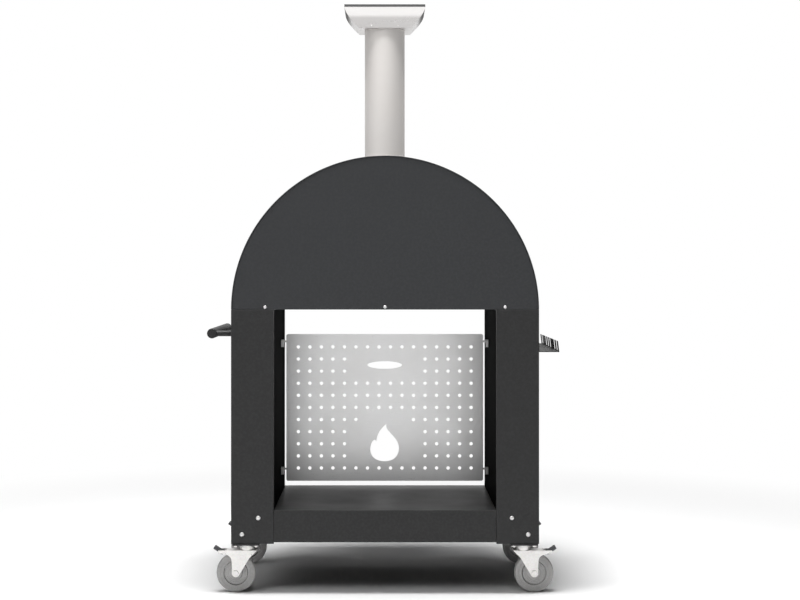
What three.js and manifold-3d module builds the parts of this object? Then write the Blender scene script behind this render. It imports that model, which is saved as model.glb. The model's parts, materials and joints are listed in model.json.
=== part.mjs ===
// Wood fired pizza oven on a wheeled cart. Millimetres, +Z up, the mouth faces -Y.
// The origin is on the floor, under the middle of the whole object.
import * as THREE from 'three';
import { mergeVertices } from 'three/addons/utils/BufferGeometryUtils.js';
import Module from 'manifold-3d';

const wasm = await Module();
wasm.setup();

// ---------- driving dimensions ----------
const fitGap = 0.3;             // between pieces that rest on each other
const sheet = 2.5;              // folded steel sheet

const ovenWidth = 980;          // roof and cart, outside
const cartDepth = 560;
const frameHeight = 745;        // side frames, without the casters
const legFace = 135.7;          // width of each leg face
const legReturn = 15;           // folded edge of a leg face
const frontOverhang = 80;       // oven body in front of the cart
const landingDepth = 150;       // landing shelf in front of the body
const landingWidth = 620;
const landingHeight = 28;

const shelfRise = 107;          // shelf top above the bottom of the frames
const shelfSkirt = 102;
const railHeight = 25;

const panelSideGap = 5.6;
const panelAboveShelf = 17.5;
const panelBelowDeck = 100.5;
const perfPitchX = 40.8;
const perfPitchZ = 42.9;
const perfMargin = 36;          // no hole centre nearer to the panel's edge
const perfRadius = 6;
const perfSides = 6;

const panDepth = 40;
const hearthThickness = 30;
const roofSheet = 3;
const panelInset = 2;           // back and front panels stand inside the roof's edge
const sideInsulation = 104;     // roof to chamber, at the sides
const crownInsulation = 87;     // roof to chamber, at the crown
const endInsulation = 38;
const mouthRadius = 245;

const flueRadius = 70;          // flue pipe, outside
const flueWall = 2.5;
const flueFromRear = 508;
const flueHeight = 491;         // pipe above the roof, up to its open end
const collarHeight = 32;
const capRim = 9;
const capBowlHeight = 71.2;
const capFlare = 50.5;
const capMargin = 19.5;           // bottom plate beside the pipe
const capDepthFlare = 11.5;
const capDepthMargin = 10;        // bottom plate in front of and behind the pipe
const capPipeInside = 16;       // pipe that stands inside the cap

const handleReach = 67;         // side wall to the bar's middle
const handleBelowTop = 78;
const handleRadius = 16;
const handleArmRadius = 9.5;
const handleLength = 475;
const handleFromRear = 60;

const rackReach = 67;
const rackBelowTop = 136;
const rackLength = 520;
const rackFromRear = 22;
const rackTeeth = 9;
const rackGap = 34;              // between teeth that stand apart
const rackWideTeeth = [1, 5];    // from the front, teeth that run on into the next
const rackSheet = 2;
const rackToothHeight = 32;
const rackLean = 7;               // degrees, teeth towards the wall

const doorThickness = 10;
const doorPlugDepth = 25;
const doorOverlap = 17;         // door past the mouth, on the mouth frame
const doorPlugGap = 7;

const wheelRadius = 62.5;
const wheelWidth = 32;
const wheelSides = 24;
const wheelOffset = 34.5;       // swivel axis to wheel axle
const casterHeadroom = 36;      // wheel top to the frame's bottom
const casterInsetX = 47;
const casterInsetY = 48;
const casterPlate = 5;

// ---------- places that follow ----------
const halfWidth = ovenWidth / 2;
const bodyDepth = cartDepth + frontOverhang;
const rearY = (bodyDepth + landingDepth) / 2;
const cartFrontY = rearY - cartDepth;
const bodyFrontY = rearY - bodyDepth;
const frameBottom = 2 * wheelRadius + casterHeadroom;
const frameTop = frameBottom + frameHeight;
const innerHalf = halfWidth - legFace;
const shelfTop = frameBottom + shelfRise;

const bodyZ = frameTop + fitGap;
const roofInner = halfWidth - roofSheet;
const backPanelY = rearY - panelInset - roofSheet;
const frontPanelY = bodyFrontY + panelInset;
const innerRearY = backPanelY - fitGap;
const innerFrontY = frontPanelY + roofSheet + fitGap;
const panHalf = Math.sqrt(roofInner ** 2 - panDepth ** 2) - 2;
const floorZ = bodyZ + panDepth;
const hearthZ = floorZ + hearthThickness;
const chamberHalf = halfWidth - sideInsulation - roofSheet;
const chamberRise = roofInner - panDepth - hearthThickness - crownInsulation;
const chamberFrontY = innerFrontY + endInsulation;
const chamberRearY = innerRearY - endInsulation;

const flueY = rearY - flueFromRear;
const neckRadius = flueRadius - flueWall - 1.5;
const neckBore = neckRadius - flueWall;
const roofTop = bodyZ + halfWidth;
const damperZ = roofTop - 45;
const damperRodRadius = 5;
const capZ = roofTop + flueHeight - capPipeInside;
const capHalf = flueRadius + capMargin;
const capHalfDepth = flueRadius + capDepthMargin;

const flangeFrontY = frontPanelY - fitGap - roofSheet;
const doorBackY = flangeFrontY - 0.5;
const doorFrontY = doorBackY - doorThickness;
const landingTop = hearthZ - 7.5;
const doorRadius = mouthRadius + doorOverlap;
const hingeX = -(doorRadius + 20);
const hingeY = doorFrontY - 2;
const hingeHeights = [38, 138];

// ---------- geometry helpers ----------

// Turns a mesh whose faces point inwards the right way out.
function facingOut(geometry) {
  const bare = geometry.clone();
  for (const name of ['normal', 'uv']) {
    if (bare.getAttribute(name)) {
      bare.deleteAttribute(name);
    }
  }
  const merged = mergeVertices(bare, 1e-4);
  const p = merged.getAttribute('position');
  const index = merged.getIndex();
  const [a, b, c] = [new THREE.Vector3(), new THREE.Vector3(), new THREE.Vector3()];
  const kept = [];
  let volume = 0;
  for (let i = 0; i < index.count; i += 3) {
    const corner = [index.getX(i), index.getX(i + 1), index.getX(i + 2)];
    if (corner[0] === corner[1] || corner[1] === corner[2] || corner[2] === corner[0]) {
      continue;
    }
    kept.push(...corner);
    a.fromBufferAttribute(p, corner[0]);
    b.fromBufferAttribute(p, corner[1]);
    c.fromBufferAttribute(p, corner[2]);
    volume += a.dot(b.cross(c));
  }
  if (volume < 0) {
    kept.reverse();
  }
  merged.setIndex(kept);
  return merged;
}

function solidOf(geometry) {
  const g = facingOut(geometry);
  return new wasm.Manifold(new wasm.Mesh({
    numProp: 3,
    vertProperties: new Float32Array(g.getAttribute('position').array),
    triVerts: new Uint32Array(g.getIndex().array),
  }));
}

function geometryOf(solid) {
  const mesh = solid.getMesh();
  const geometry = new THREE.BufferGeometry();
  geometry.setAttribute('position', new THREE.BufferAttribute(mesh.vertProperties, 3));
  geometry.setIndex(new THREE.BufferAttribute(mesh.triVerts, 1));
  return geometry;
}

function join(first, ...others) {
  return geometryOf(others.reduce((whole, g) => whole.add(solidOf(g)), solidOf(first)));
}

function cut(first, ...tools) {
  return geometryOf(tools.reduce((whole, g) => whole.subtract(solidOf(g)), solidOf(first)));
}

function common(first, second) {
  return geometryOf(solidOf(first).intersect(solidOf(second)));
}

function block(x0, x1, y0, y1, z0, z1) {
  const g = new THREE.BoxGeometry(Math.abs(x1 - x0), Math.abs(y1 - y0), Math.abs(z1 - z0));
  return g.translate((x0 + x1) / 2, (y0 + y1) / 2, (z0 + z1) / 2);
}

function rodZ(radius, x, y, z0, z1, sides = 24) {
  const g = new THREE.CylinderGeometry(radius, radius, z1 - z0, sides);
  return g.rotateX(Math.PI / 2).translate(x, y, (z0 + z1) / 2);
}

function rodY(radius, x, z, y0, y1, sides = 24) {
  const g = new THREE.CylinderGeometry(radius, radius, y1 - y0, sides);
  return g.translate(x, (y0 + y1) / 2, z);
}

function rodX(radius, y, z, x0, x1, sides = 16) {
  const g = new THREE.CylinderGeometry(radius, radius, x1 - x0, sides);
  return g.rotateZ(Math.PI / 2).translate((x0 + x1) / 2, y, z);
}

// A closed profile of [radius, height] corners, turned about +Z at (x, y).
function turnedZ(profile, x, y, sides, turn = 0) {
  const points = [...profile, profile[0]].map(([r, h]) => new THREE.Vector2(r, h));
  const g = new THREE.LatheGeometry(points, sides, turn);
  return g.rotateX(Math.PI / 2).translate(x, y, 0);
}

// The same about the +Y direction, at (x, z): heights run along +Y.
function turnedY(profile, x, z, sides, turn = 0) {
  const points = [...profile, profile[0]].map(([r, h]) => new THREE.Vector2(r, h));
  return new THREE.LatheGeometry(points, sides, turn).translate(x, 0, z);
}

function outline(corners) {
  return new THREE.Shape(corners.map(([u, v]) => new THREE.Vector2(u, v)));
}

// Shapes drawn in X and Z, with thickness along Y.
function plateXZ(shape, y0, y1, curveSegments = 24) {
  const g = new THREE.ExtrudeGeometry(shape, { depth: y1 - y0, bevelEnabled: false, curveSegments });
  return g.rotateX(Math.PI / 2).translate(0, y1, 0);
}

// Shapes drawn in X and Y, with thickness along Z.
function plateXY(shape, z0, z1) {
  const g = new THREE.ExtrudeGeometry(shape, { depth: z1 - z0, bevelEnabled: false });
  return g.translate(0, 0, z0);
}

// Shapes drawn in Y and Z, with thickness along X.
function plateYZ(shape, x0, x1) {
  const g = new THREE.ExtrudeGeometry(shape, { depth: x1 - x0, bevelEnabled: false });
  const turn = new THREE.Matrix4().makeBasis(
    new THREE.Vector3(0, 1, 0),
    new THREE.Vector3(0, 0, 1),
    new THREE.Vector3(1, 0, 0),
  );
  return g.applyMatrix4(turn).translate(x0, 0, 0);
}

// Upper half of a disc or an ellipse, standing on straight sides of height drop.
function archShape(halfSpan, rise, baseZ, drop = 0) {
  const shape = new THREE.Shape();
  shape.moveTo(halfSpan, baseZ - drop);
  if (drop > 0) {
    shape.lineTo(halfSpan, baseZ);
  }
  shape.absellipse(0, baseZ, halfSpan, rise, 0, Math.PI, false, 0);
  if (drop > 0) {
    shape.lineTo(-halfSpan, baseZ - drop);
  }
  shape.closePath();
  return shape;
}

// ---------- materials ----------

function finish(color, roughness, metalness) {
  return new THREE.MeshStandardMaterial({ color, roughness, metalness });
}

const paint = finish(0x3d3f41, 0.6, 0.2);
const stainless = finish(0xc4c2be, 0.32, 1);
const zinc = finish(0xd6d4d0, 0.35, 1);
const tyreGrey = finish(0x8f8f8f, 0.8, 0);
const black = finish(0x202122, 0.6, 0);
const refractory = finish(0xcdb99a, 0.95, 0);
const wool = finish(0xd9d6cc, 1, 0);
const wood = finish(0xa9713f, 0.6, 0);
const brass = finish(0x9c9a96, 0.4, 1);
const clear = finish(0xeef4f6, 0.05, 0);

const oven = new THREE.Group();

function piece(name, geometry, material) {
  const mesh = new THREE.Mesh(facingOut(geometry), material);
  mesh.name = name;
  oven.add(mesh);
  return mesh;
}

// ---------- cart ----------

const sides = [['right', 1], ['left', -1]];

// One folded sheet: side wall, two leg faces with returns, and a top flange.
function sideFrame(sign) {
  const inner = innerHalf;
  const shape = outline([
    [halfWidth, rearY],
    [halfWidth, cartFrontY],
    [inner, cartFrontY],
    [inner, cartFrontY + legReturn],
    [inner + sheet, cartFrontY + legReturn],
    [inner + sheet, cartFrontY + sheet],
    [halfWidth - sheet, cartFrontY + sheet],
    [halfWidth - sheet, rearY - sheet],
    [inner + sheet, rearY - sheet],
    [inner + sheet, rearY - legReturn],
    [inner, rearY - legReturn],
    [inner, rearY],
  ].map(([x, y]) => [sign * x, y]));
  const walls = plateXY(shape, frameBottom, frameTop - 1);
  const top = block(sign * inner, sign * halfWidth, cartFrontY, rearY, frameTop - sheet, frameTop);
  return join(walls, top);
}

// Open channel at the bottom of a side frame; the casters bolt to it.
function baseRail(sign) {
  const x0 = sign * (innerHalf + sheet + fitGap);
  const x1 = sign * (halfWidth - sheet - fitGap);
  const y0 = cartFrontY + sheet + fitGap;
  const y1 = rearY - sheet - fitGap;
  const outside = block(x0, x1, y0, y1, frameBottom, frameBottom + railHeight);
  const inside = block(
    x0 + sign * sheet, x1 - sign * sheet, y0 + sheet, y1 - sheet,
    frameBottom + sheet, frameBottom + railHeight + 1,
  );
  return cut(outside, inside);
}

function bottomShelf() {
  const half = innerHalf - fitGap;
  const y0 = cartFrontY + 1;
  const y1 = rearY - 1;
  const bottom = shelfTop - shelfSkirt;
  const outside = block(-half, half, y0, y1, bottom, shelfTop);
  const inside = block(
    -half + sheet, half - sheet, y0 + sheet, y1 - sheet, bottom - 1, shelfTop - sheet,
  );
  return cut(outside, inside);
}

for (const [side, sign] of sides) {
  piece(`${side}_side_frame`, sideFrame(sign), paint);
  piece(`${side}_base_rail`, baseRail(sign), paint);
}
piece('bottom_shelf', bottomShelf(), paint);

// ---------- perforated panel ----------

const perfHalf = innerHalf - panelSideGap;
const perfZ0 = shelfTop + panelAboveShelf;
const perfZ1 = frameTop - panelBelowDeck;
const perfBackY = cartFrontY + legReturn + fitGap;
const perfFrontY = perfBackY - 2;
const perfColumns = Math.floor((2 * perfHalf - 2 * perfMargin) / perfPitchX) + 1;
const perfRows = Math.floor((perfZ1 - perfZ0 - 2 * perfMargin) / perfPitchZ) + 1;

// A long oval hand slot near the top, in the place of two rows of holes.
function handSlot(z) {
  const halfLength = 61;
  const halfHeight = 13.3;
  const slot = new THREE.Path();
  slot.absellipse(0, z, halfLength, halfHeight, 0, 2 * Math.PI, false, 0);
  return slot;
}

// A plain flame: a drop with a pointed, slightly leaning tip.
function flame(z) {
  const path = new THREE.Path();
  path.moveTo(0, z - 62);
  path.bezierCurveTo(42, z - 62, 58, z - 34, 48, z - 2);
  path.bezierCurveTo(44, z + 14, 34, z + 20, 30, z + 8);
  path.bezierCurveTo(26, z + 40, 12, z + 56, -6, z + 70);
  path.bezierCurveTo(2, z + 44, -50, z + 26, -50, z - 16);
  path.bezierCurveTo(-50, z - 44, -30, z - 62, 0, z - 62);
  path.closePath();
  return path;
}

function perforatedPanel() {
  const shape = outline([
    [-perfHalf, perfZ0 + 6],
    [-perfHalf + 6, perfZ0],
    [perfHalf - 6, perfZ0],
    [perfHalf, perfZ0 + 6],
    [perfHalf, perfZ1 - 6],
    [perfHalf - 6, perfZ1],
    [-perfHalf + 6, perfZ1],
    [-perfHalf, perfZ1 - 6],
  ]);
  const midZ = (perfZ0 + perfZ1) / 2;
  const topRowZ = midZ + (perfRows - 1) / 2 * perfPitchZ;
  const slotZ = topRowZ - 1.5 * perfPitchZ;
  const flameZ = midZ - 3 * perfPitchZ;
  shape.holes.push(handSlot(slotZ), flame(flameZ));
  for (let row = 0; row < perfRows; row += 1) {
    for (let column = 0; column < perfColumns; column += 1) {
      const x = (column - (perfColumns - 1) / 2) * perfPitchX;
      const z = topRowZ - row * perfPitchZ;
      const byFlame = Math.abs(z - flameZ) < 1.5 * perfPitchZ && Math.abs(x) < 2.8 * perfPitchX;
      const overFlame = Math.abs(z - flameZ) < 2.5 * perfPitchZ && z > flameZ
        && Math.abs(x) < 1.8 * perfPitchX;
      const bySlot = Math.abs(z - slotZ) < perfPitchZ && Math.abs(x) < 2.8 * perfPitchX;
      if (byFlame || overFlame || bySlot) {
        continue;
      }
      const hole = new THREE.Path();
      for (let k = 0; k < perfSides; k += 1) {
        const angle = 2 * Math.PI * k / perfSides;
        const at = [x + perfRadius * Math.cos(angle), z + perfRadius * Math.sin(angle)];
        if (k === 0) {
          hole.moveTo(...at);
        } else {
          hole.lineTo(...at);
        }
      }
      hole.closePath();
      shape.holes.push(hole);
    }
  }
  return plateXZ(shape, perfFrontY, perfBackY, 6);
}

// A small upright bar beside the leg's folded edge, with a tongue behind the panel.
function panelClip(sign, z) {
  const x0 = innerHalf + sheet + fitGap;
  const y0 = cartFrontY + sheet + fitGap;
  const y1 = perfBackY + fitGap + 3;
  const bar = block(sign * x0, sign * (x0 + 10), y0, y1, z - 13.5, z + 13.5);
  const tongue = block(sign * (perfHalf - 4), sign * (x0 + 5), y1 - 2.6, y1, z + 4, z + 11);
  return join(bar, tongue);
}

piece('perforated_panel', perforatedPanel(), stainless);
for (const [side, sign] of sides) {
  piece(`${side}_upper_panel_clip`, panelClip(sign, perfZ1 - 33), stainless);
  piece(`${side}_lower_panel_clip`, panelClip(sign, perfZ0 + 36), stainless);
}

// ---------- side handle and tool rack ----------

function sideHandle() {
  const wallX = halfWidth + fitGap;
  const x = halfWidth + handleReach;
  const z = frameTop - handleBelowTop;
  const y1 = rearY - handleFromRear;
  const y0 = y1 - handleLength;
  const parts = [rodY(handleRadius, x, z, y0, y1, 20)];
  for (const y of [y0 + 14, y1 - 14]) {
    parts.push(rodX(handleArmRadius, y, z, wallX + 1, x, 12));
    parts.push(rodX(19, y, z, wallX, wallX + 4, 16));
  }
  return join(...parts);
}

// Flange on the side wall, flat ledge, and a comb of teeth that leans in a little.
function toolRack() {
  const wallX = -(halfWidth + fitGap);
  const outerX = -(halfWidth + rackReach);
  const z0 = frameTop - rackBelowTop;
  const y1 = rearY - rackFromRear;
  const y0 = y1 - rackLength;
  const pitch = (rackLength + rackGap) / rackTeeth;
  const ledgeThickness = 3;
  const corners = [[y0, z0]];
  for (let k = 0; k < rackTeeth; k += 1) {
    const y = y0 + k * pitch;
    const top = z0 + 4 + rackToothHeight;
    if (!rackWideTeeth.includes(k - 1)) {
      corners.push([y, z0 + ledgeThickness + 2], [y, top]);
    }
    if (!rackWideTeeth.includes(k)) {
      corners.push([y + pitch - rackGap, top], [y + pitch - rackGap, z0 + ledgeThickness + 2]);
    }
  }
  corners.push([y1, z0]);
  const comb = plateYZ(outline(corners.reverse()), 0, rackSheet);
  comb.translate(0, 0, -z0).rotateY(THREE.MathUtils.degToRad(rackLean)).translate(outerX, 0, z0);
  const ledge = block(outerX + 1, wallX, y0, y1, z0, z0 + ledgeThickness);
  const flange = block(wallX - ledgeThickness, wallX, y0, y1, z0, z0 + 30);
  return join(ledge, flange, comb);
}

piece('side_handle', sideHandle(), paint);
piece('tool_rack', toolRack(), paint);

// ---------- oven body ----------

function roofShell() {
  const shape = archShape(halfWidth, halfWidth, bodyZ);
  const inner = archShape(roofInner, roofInner, bodyZ, 5);
  const whole = cut(plateXZ(shape, bodyFrontY, rearY, 28), plateXZ(inner, bodyFrontY - 1, rearY + 1, 28));
  return cut(whole, rodZ(neckRadius + 2.5, 0, flueY, roofTop - 60, roofTop + 10, 32));
}

function backPanel() {
  return plateXZ(archShape(roofInner - 0.5, roofInner - 0.5, bodyZ), backPanelY, backPanelY + roofSheet, 28);
}

function mouthCut(extra, y0, y1) {
  return plateXZ(archShape(mouthRadius + extra, mouthRadius + extra, hearthZ, extra), y0, y1, 18);
}

function frontPanel() {
  const whole = plateXZ(
    archShape(roofInner - 0.5, roofInner - 0.5, bodyZ), frontPanelY, frontPanelY + roofSheet, 28,
  );
  return cut(
    whole,
    mouthCut(4, frontPanelY - 5, frontPanelY + 10),
    rodY(damperRodRadius + 1, 0, damperZ, frontPanelY - 5, frontPanelY + 10, 16),
  );
}

function basePan() {
  const outside = block(-panHalf, panHalf, innerFrontY, innerRearY, bodyZ, bodyZ + panDepth - fitGap);
  const inside = block(
    -panHalf + sheet, panHalf - sheet, innerFrontY + sheet, innerRearY - sheet,
    bodyZ + sheet, bodyZ + panDepth + 5,
  );
  return cut(outside, inside);
}

function floorInsulation() {
  const gap = sheet + fitGap;
  return block(
    -panHalf + gap, panHalf - gap, innerFrontY + gap, innerRearY - gap,
    bodyZ + gap, bodyZ + panDepth - fitGap,
  );
}

// Vault, back wall and front wall, welded into one open-bottomed chamber.
function chamber() {
  const outer = archShape(chamberHalf + sheet, chamberRise + sheet, hearthZ, hearthThickness);
  const inner = archShape(chamberHalf, chamberRise, hearthZ, hearthThickness + 5);
  const body = cut(
    plateXZ(outer, chamberFrontY, chamberRearY, 20),
    plateXZ(inner, chamberFrontY + sheet, chamberRearY - sheet, 20),
  );
  return cut(
    body,
    mouthCut(0, chamberFrontY - 5, chamberFrontY + 10),
    rodZ(neckRadius + 0.5, 0, flueY, hearthZ + chamberRise - 40, roofTop, 32),
  );
}

function hearthTile(sign) {
  const x0 = sign * 0.5;
  const x1 = sign * (chamberHalf - 1.5);
  return block(x0, x1, chamberFrontY + sheet + 1, chamberRearY - sheet - 1, floorZ, hearthZ - fitGap);
}

function neckCut() {
  return rodZ(neckRadius + 1, 0, flueY, hearthZ, roofTop + 20, 32);
}

function rodCut() {
  return rodY(damperRodRadius + 1, 0, damperZ, bodyFrontY - 5, flueY + neckRadius + 12, 16);
}

// Half round block between two planes, lying inside the roof.
function halfRound(y0, y1) {
  const whole = plateXZ(archShape(roofInner - 1, roofInner - 1, bodyZ), y0, y1, 28);
  return cut(whole, block(-ovenWidth, ovenWidth, y0 - 1, y1 + 1, bodyZ - 5, floorZ));
}

function blanket() {
  const spare = sheet + 0.6;
  const room = archShape(chamberHalf + spare, chamberRise + spare, hearthZ, hearthThickness + 5);
  return cut(
    halfRound(chamberFrontY, chamberRearY),
    plateXZ(room, chamberFrontY - 5, chamberRearY + 5, 20),
    neckCut(),
    rodCut(),
  );
}

function frontInsulation() {
  return cut(
    halfRound(innerFrontY, chamberFrontY - fitGap),
    mouthCut(4, innerFrontY - 5, chamberFrontY + 5),
    rodCut(),
  );
}

// Lining of the mouth with a flange on the front panel and a flat sill.
function mouthFrame() {
  const flange = plateXZ(
    archShape(mouthRadius + 23, mouthRadius + 23, hearthZ, 6), flangeFrontY, frontPanelY - fitGap, 24,
  );
  const lining = plateXZ(
    archShape(mouthRadius + 3, mouthRadius + 3, hearthZ, 3), flangeFrontY + 1, chamberFrontY - fitGap, 24,
  );
  const hole = plateXZ(
    archShape(mouthRadius, mouthRadius, hearthZ), flangeFrontY - 5, chamberFrontY + 5, 24,
  );
  return cut(join(flange, lining), hole);
}

function landingShelf() {
  const half = landingWidth / 2;
  const y0 = bodyFrontY - landingDepth;
  const y1 = frontPanelY - fitGap;
  const outside = block(-half, half, y0, y1, landingTop - landingHeight, landingTop);
  const inside = block(
    -half + sheet, half - sheet, y0 + sheet, y1 - sheet,
    landingTop - landingHeight - 5, landingTop - sheet,
  );
  return cut(outside, inside);
}

piece('roof_shell', roofShell(), paint);
piece('back_panel', backPanel(), paint);
piece('front_panel', frontPanel(), paint);
piece('base_pan', basePan(), paint);
piece('floor_insulation', floorInsulation(), wool);
piece('cooking_chamber', chamber(), stainless);
for (const [side, sign] of sides) {
  piece(`${side}_hearth_tile`, hearthTile(sign), refractory);
}
piece('insulation_blanket', blanket(), wool);
piece('back_insulation', halfRound(chamberRearY + fitGap, innerRearY - fitGap), wool);
piece('front_insulation', frontInsulation(), wool);
piece('mouth_frame', mouthFrame(), stainless);
piece('landing_shelf', landingShelf(), stainless);

// ---------- flue, cap and damper ----------

function flueNeck() {
  const z0 = hearthZ + chamberRise - 10;
  const z1 = roofTop + 60;
  const tube = turnedZ([[neckBore, z0], [neckRadius, z0], [neckRadius, z1], [neckBore, z1]], 0, flueY, 32);
  const pivots = rodY(damperRodRadius + 0.5, 0, damperZ, flueY - neckRadius - 5, flueY + neckRadius + 5, 16);
  return cut(tube, pivots);
}

// Upright ring with a skirt that follows the roof's curve.
function roofCollar() {
  const below = roofTop - 60;
  const skirt = common(
    rodY(halfWidth + fitGap + 2.5, 0, bodyZ, flueY - 120, flueY + 120, 112),
    rodZ(flueRadius + 34, 0, flueY, below, roofTop + 20, 32),
  );
  const ring = rodZ(flueRadius + 6, 0, flueY, below, roofTop + collarHeight, 32);
  return cut(
    join(skirt, ring),
    rodY(halfWidth + fitGap, 0, bodyZ, flueY - 130, flueY + 130, 112),
    rodZ(flueRadius + 0.5, 0, flueY, below - 5, roofTop + collarHeight + 5, 32),
  );
}

function fluePipe() {
  const z0 = roofTop + 2;
  const z1 = roofTop + flueHeight;
  const bore = flueRadius - flueWall;
  return turnedZ([[bore, z0], [flueRadius, z0], [flueRadius, z1], [bore, z1]], 0, flueY, 32);
}

// Closed stack of rectangles, each a half width, a half depth and a height.
function rectangleStack(rows) {
  const points = rows.flatMap(([x, y, z]) => [x, -y, z, x, y, z, -x, y, z, -x, -y, z]);
  const faces = [0, 2, 1, 0, 3, 2];
  for (let row = 0; row < rows.length - 1; row += 1) {
    for (let corner = 0; corner < 4; corner += 1) {
      const a = row * 4 + corner;
      const b = row * 4 + (corner + 1) % 4;
      faces.push(a, b, b + 4, a, b + 4, a + 4);
    }
  }
  const top = (rows.length - 1) * 4;
  faces.push(top, top + 1, top + 2, top, top + 2, top + 3);
  const geometry = new THREE.BufferGeometry();
  geometry.setAttribute('position', new THREE.Float32BufferAttribute(points, 3));
  geometry.setIndex(faces);
  return geometry.translate(0, flueY, 0);
}

// Bowl of four curved, mitred plates, wide at the sides, with an upright rim.
function capBowl() {
  const steps = 7;
  const curve = new THREE.QuadraticBezierCurve(
    new THREE.Vector2(0, 0),
    new THREE.Vector2(0.95, 0.64),
    new THREE.Vector2(1, 1),
  );
  const outer = curve.getPoints(steps).map(({ x: out, y: up }) => [
    capHalf + out * capFlare,
    capHalfDepth + out * capDepthFlare,
    capZ + up * capBowlHeight,
  ]);
  outer.push([capHalf + capFlare, capHalfDepth + capDepthFlare, capZ + capBowlHeight + capRim]);
  const inner = outer.slice(1).map(([x, y, z]) => [x - sheet, y - sheet, z]);
  inner.unshift([capHalf - sheet, capHalfDepth - sheet, capZ + sheet]);
  inner[inner.length - 1][2] += 1;
  return cut(
    rectangleStack(outer),
    rectangleStack(inner),
    rodZ(flueRadius + 0.4, 0, flueY, capZ - 10, capZ + 10, 32),
  );
}

// Low pyramid inside the rim, on four posts that stand on the bowl's bottom.
function capLid() {
  const half = capHalf + capFlare - 22;
  const halfDepth = capHalfDepth + capDepthFlare - 22;
  const edge = capZ + capBowlHeight - 12;
  const points = [[0, edge + 14], [half * Math.SQRT2, edge], [half * Math.SQRT2, edge - 3], [0, edge + 11]]
    .map(([r, h]) => new THREE.Vector2(r, h));
  const lid = new THREE.LatheGeometry(points, 4, Math.PI / 4);
  lid.rotateX(Math.PI / 2).scale(1, halfDepth / half, 1).translate(0, flueY, 0);
  const across = capHalf - 12;
  const along = capHalfDepth - 20;
  const postTop = edge + 12.5 - 14 * along / halfDepth;
  const posts = [];
  for (const [sx, sy] of [[1, 1], [1, -1], [-1, 1], [-1, -1]]) {
    const x = sx * across;
    const y = flueY + sy * along;
    posts.push(block(x - 4, x + 4, y - 4, y + 4, capZ + sheet + fitGap, postTop));
  }
  return join(lid, ...posts);
}

function damperBlade() {
  const rod = rodY(damperRodRadius, 0, damperZ, frontPanelY - 18, flueY + neckRadius + 8, 16);
  const disc = rodX(neckBore - 1.5, flueY, damperZ, -1.25, 1.25, 32);
  return join(rod, disc);
}

function damperKnob() {
  const y1 = frontPanelY - 2;
  const boss = rodY(15, 0, damperZ, y1 - 20, y1, 24);
  const bar = block(-7, 7, y1 - 32, y1 - 18, damperZ - 34, damperZ + 34);
  const bore = rodY(damperRodRadius + fitGap, 0, damperZ, y1 - 17, y1 + 5, 16);
  return cut(join(boss, bar), bore);
}

piece('flue_neck', flueNeck(), stainless);
piece('roof_collar', roofCollar(), stainless);
piece('flue_pipe', fluePipe(), stainless);
piece('cap_bowl', capBowl(), stainless);
piece('cap_lid', capLid(), stainless);
piece('damper_blade', damperBlade(), stainless);
piece('damper_knob', damperKnob(), black);

// ---------- door ----------

const ventZ = hearthZ + 34;
const ventPitch = 44;
const ventHoles = 3;
const ventRadius = 11;
const ventX = -20;
const slideZ = 15;              // half the slider's height
const slideHalf = 72;
const slideTravel = ventPitch / 2;
const dialZ = hearthZ + 150;

function ventCut(y0, y1, shift = 0) {
  const holes = [];
  for (let k = 0; k < ventHoles; k += 1) {
    const x = ventX + shift + (k - (ventHoles - 1) / 2) * ventPitch;
    holes.push(rodY(ventRadius, x, ventZ, y0, y1, 16));
  }
  return holes;
}

function doorPanel() {
  const shell = plateXZ(archShape(doorRadius, doorRadius, hearthZ, 5), doorBackY - doorThickness, doorBackY, 24);
  const x0 = ventX - slideHalf - 4;
  const x1 = ventX + slideHalf + slideTravel + 4;
  const guides = [];
  for (const sign of [1, -1]) {
    const edge = ventZ + sign * (slideZ + 0.5);
    guides.push(block(x0, x1, doorFrontY - 3.2, doorFrontY + 1, edge, edge + sign * 4));
    guides.push(block(x0, x1, doorFrontY - 5, doorFrontY - 3.1, edge - sign * 3, edge + sign * 4));
  }
  return cut(join(shell, ...guides), ...ventCut(doorFrontY - 10, doorBackY + 5));
}

function doorInnerPlate() {
  const radius = mouthRadius - doorPlugGap;
  const plug = plateXZ(
    archShape(radius, radius, hearthZ + 4), doorBackY + fitGap, doorBackY + doorPlugDepth, 24,
  );
  return cut(plug, ...ventCut(doorBackY - 5, doorBackY + doorPlugDepth + 5));
}

function ventSlider() {
  const plate = block(
    ventX - slideHalf, ventX + slideHalf, doorFrontY - 2.8, doorFrontY - fitGap,
    ventZ - slideZ, ventZ + slideZ,
  );
  const tab = block(ventX + slideHalf - 10, ventX + slideHalf - 5, doorFrontY - 16, doorFrontY - 2, ventZ - 9, ventZ + 9);
  return cut(join(plate, tab), ...ventCut(doorFrontY - 10, doorFrontY + 5, -slideTravel));
}

// Lower half of a lift-off hinge: leaf on the front panel, knuckle and pin.
function hingeBase(z) {
  const leafBack = frontPanelY - fitGap;
  return join(
    block(hingeX - 16, hingeX + 8, leafBack - 3, leafBack, z - 24, z),
    block(hingeX - 5, hingeX + 5, hingeY, leafBack - 1, z - 24, z),
    rodZ(7, hingeX, hingeY, z - 24, z, 16),
    rodZ(4, hingeX, hingeY, z - 1, z + 22, 16),
  );
}

// Upper half: knuckle over the pin, with a strap across the door.
function hingeStrap(z) {
  const reach = doorRadius - Math.sqrt(doorRadius ** 2 - (z + 12 - hearthZ) ** 2) + 70;
  const knuckle = rodZ(7, hingeX, hingeY, z + fitGap, z + 24, 16);
  const strap = block(
    hingeX, hingeX + reach, doorFrontY - fitGap - 3, doorFrontY - fitGap, z + fitGap, z + 24,
  );
  return cut(join(knuckle, strap), rodZ(4.3, hingeX, hingeY, z - 5, z + 30, 16));
}

const gripX = 178;
const gripY = doorFrontY - 46;
const gripLow = hearthZ + 42;
const gripHigh = hearthZ + 142;

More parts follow.
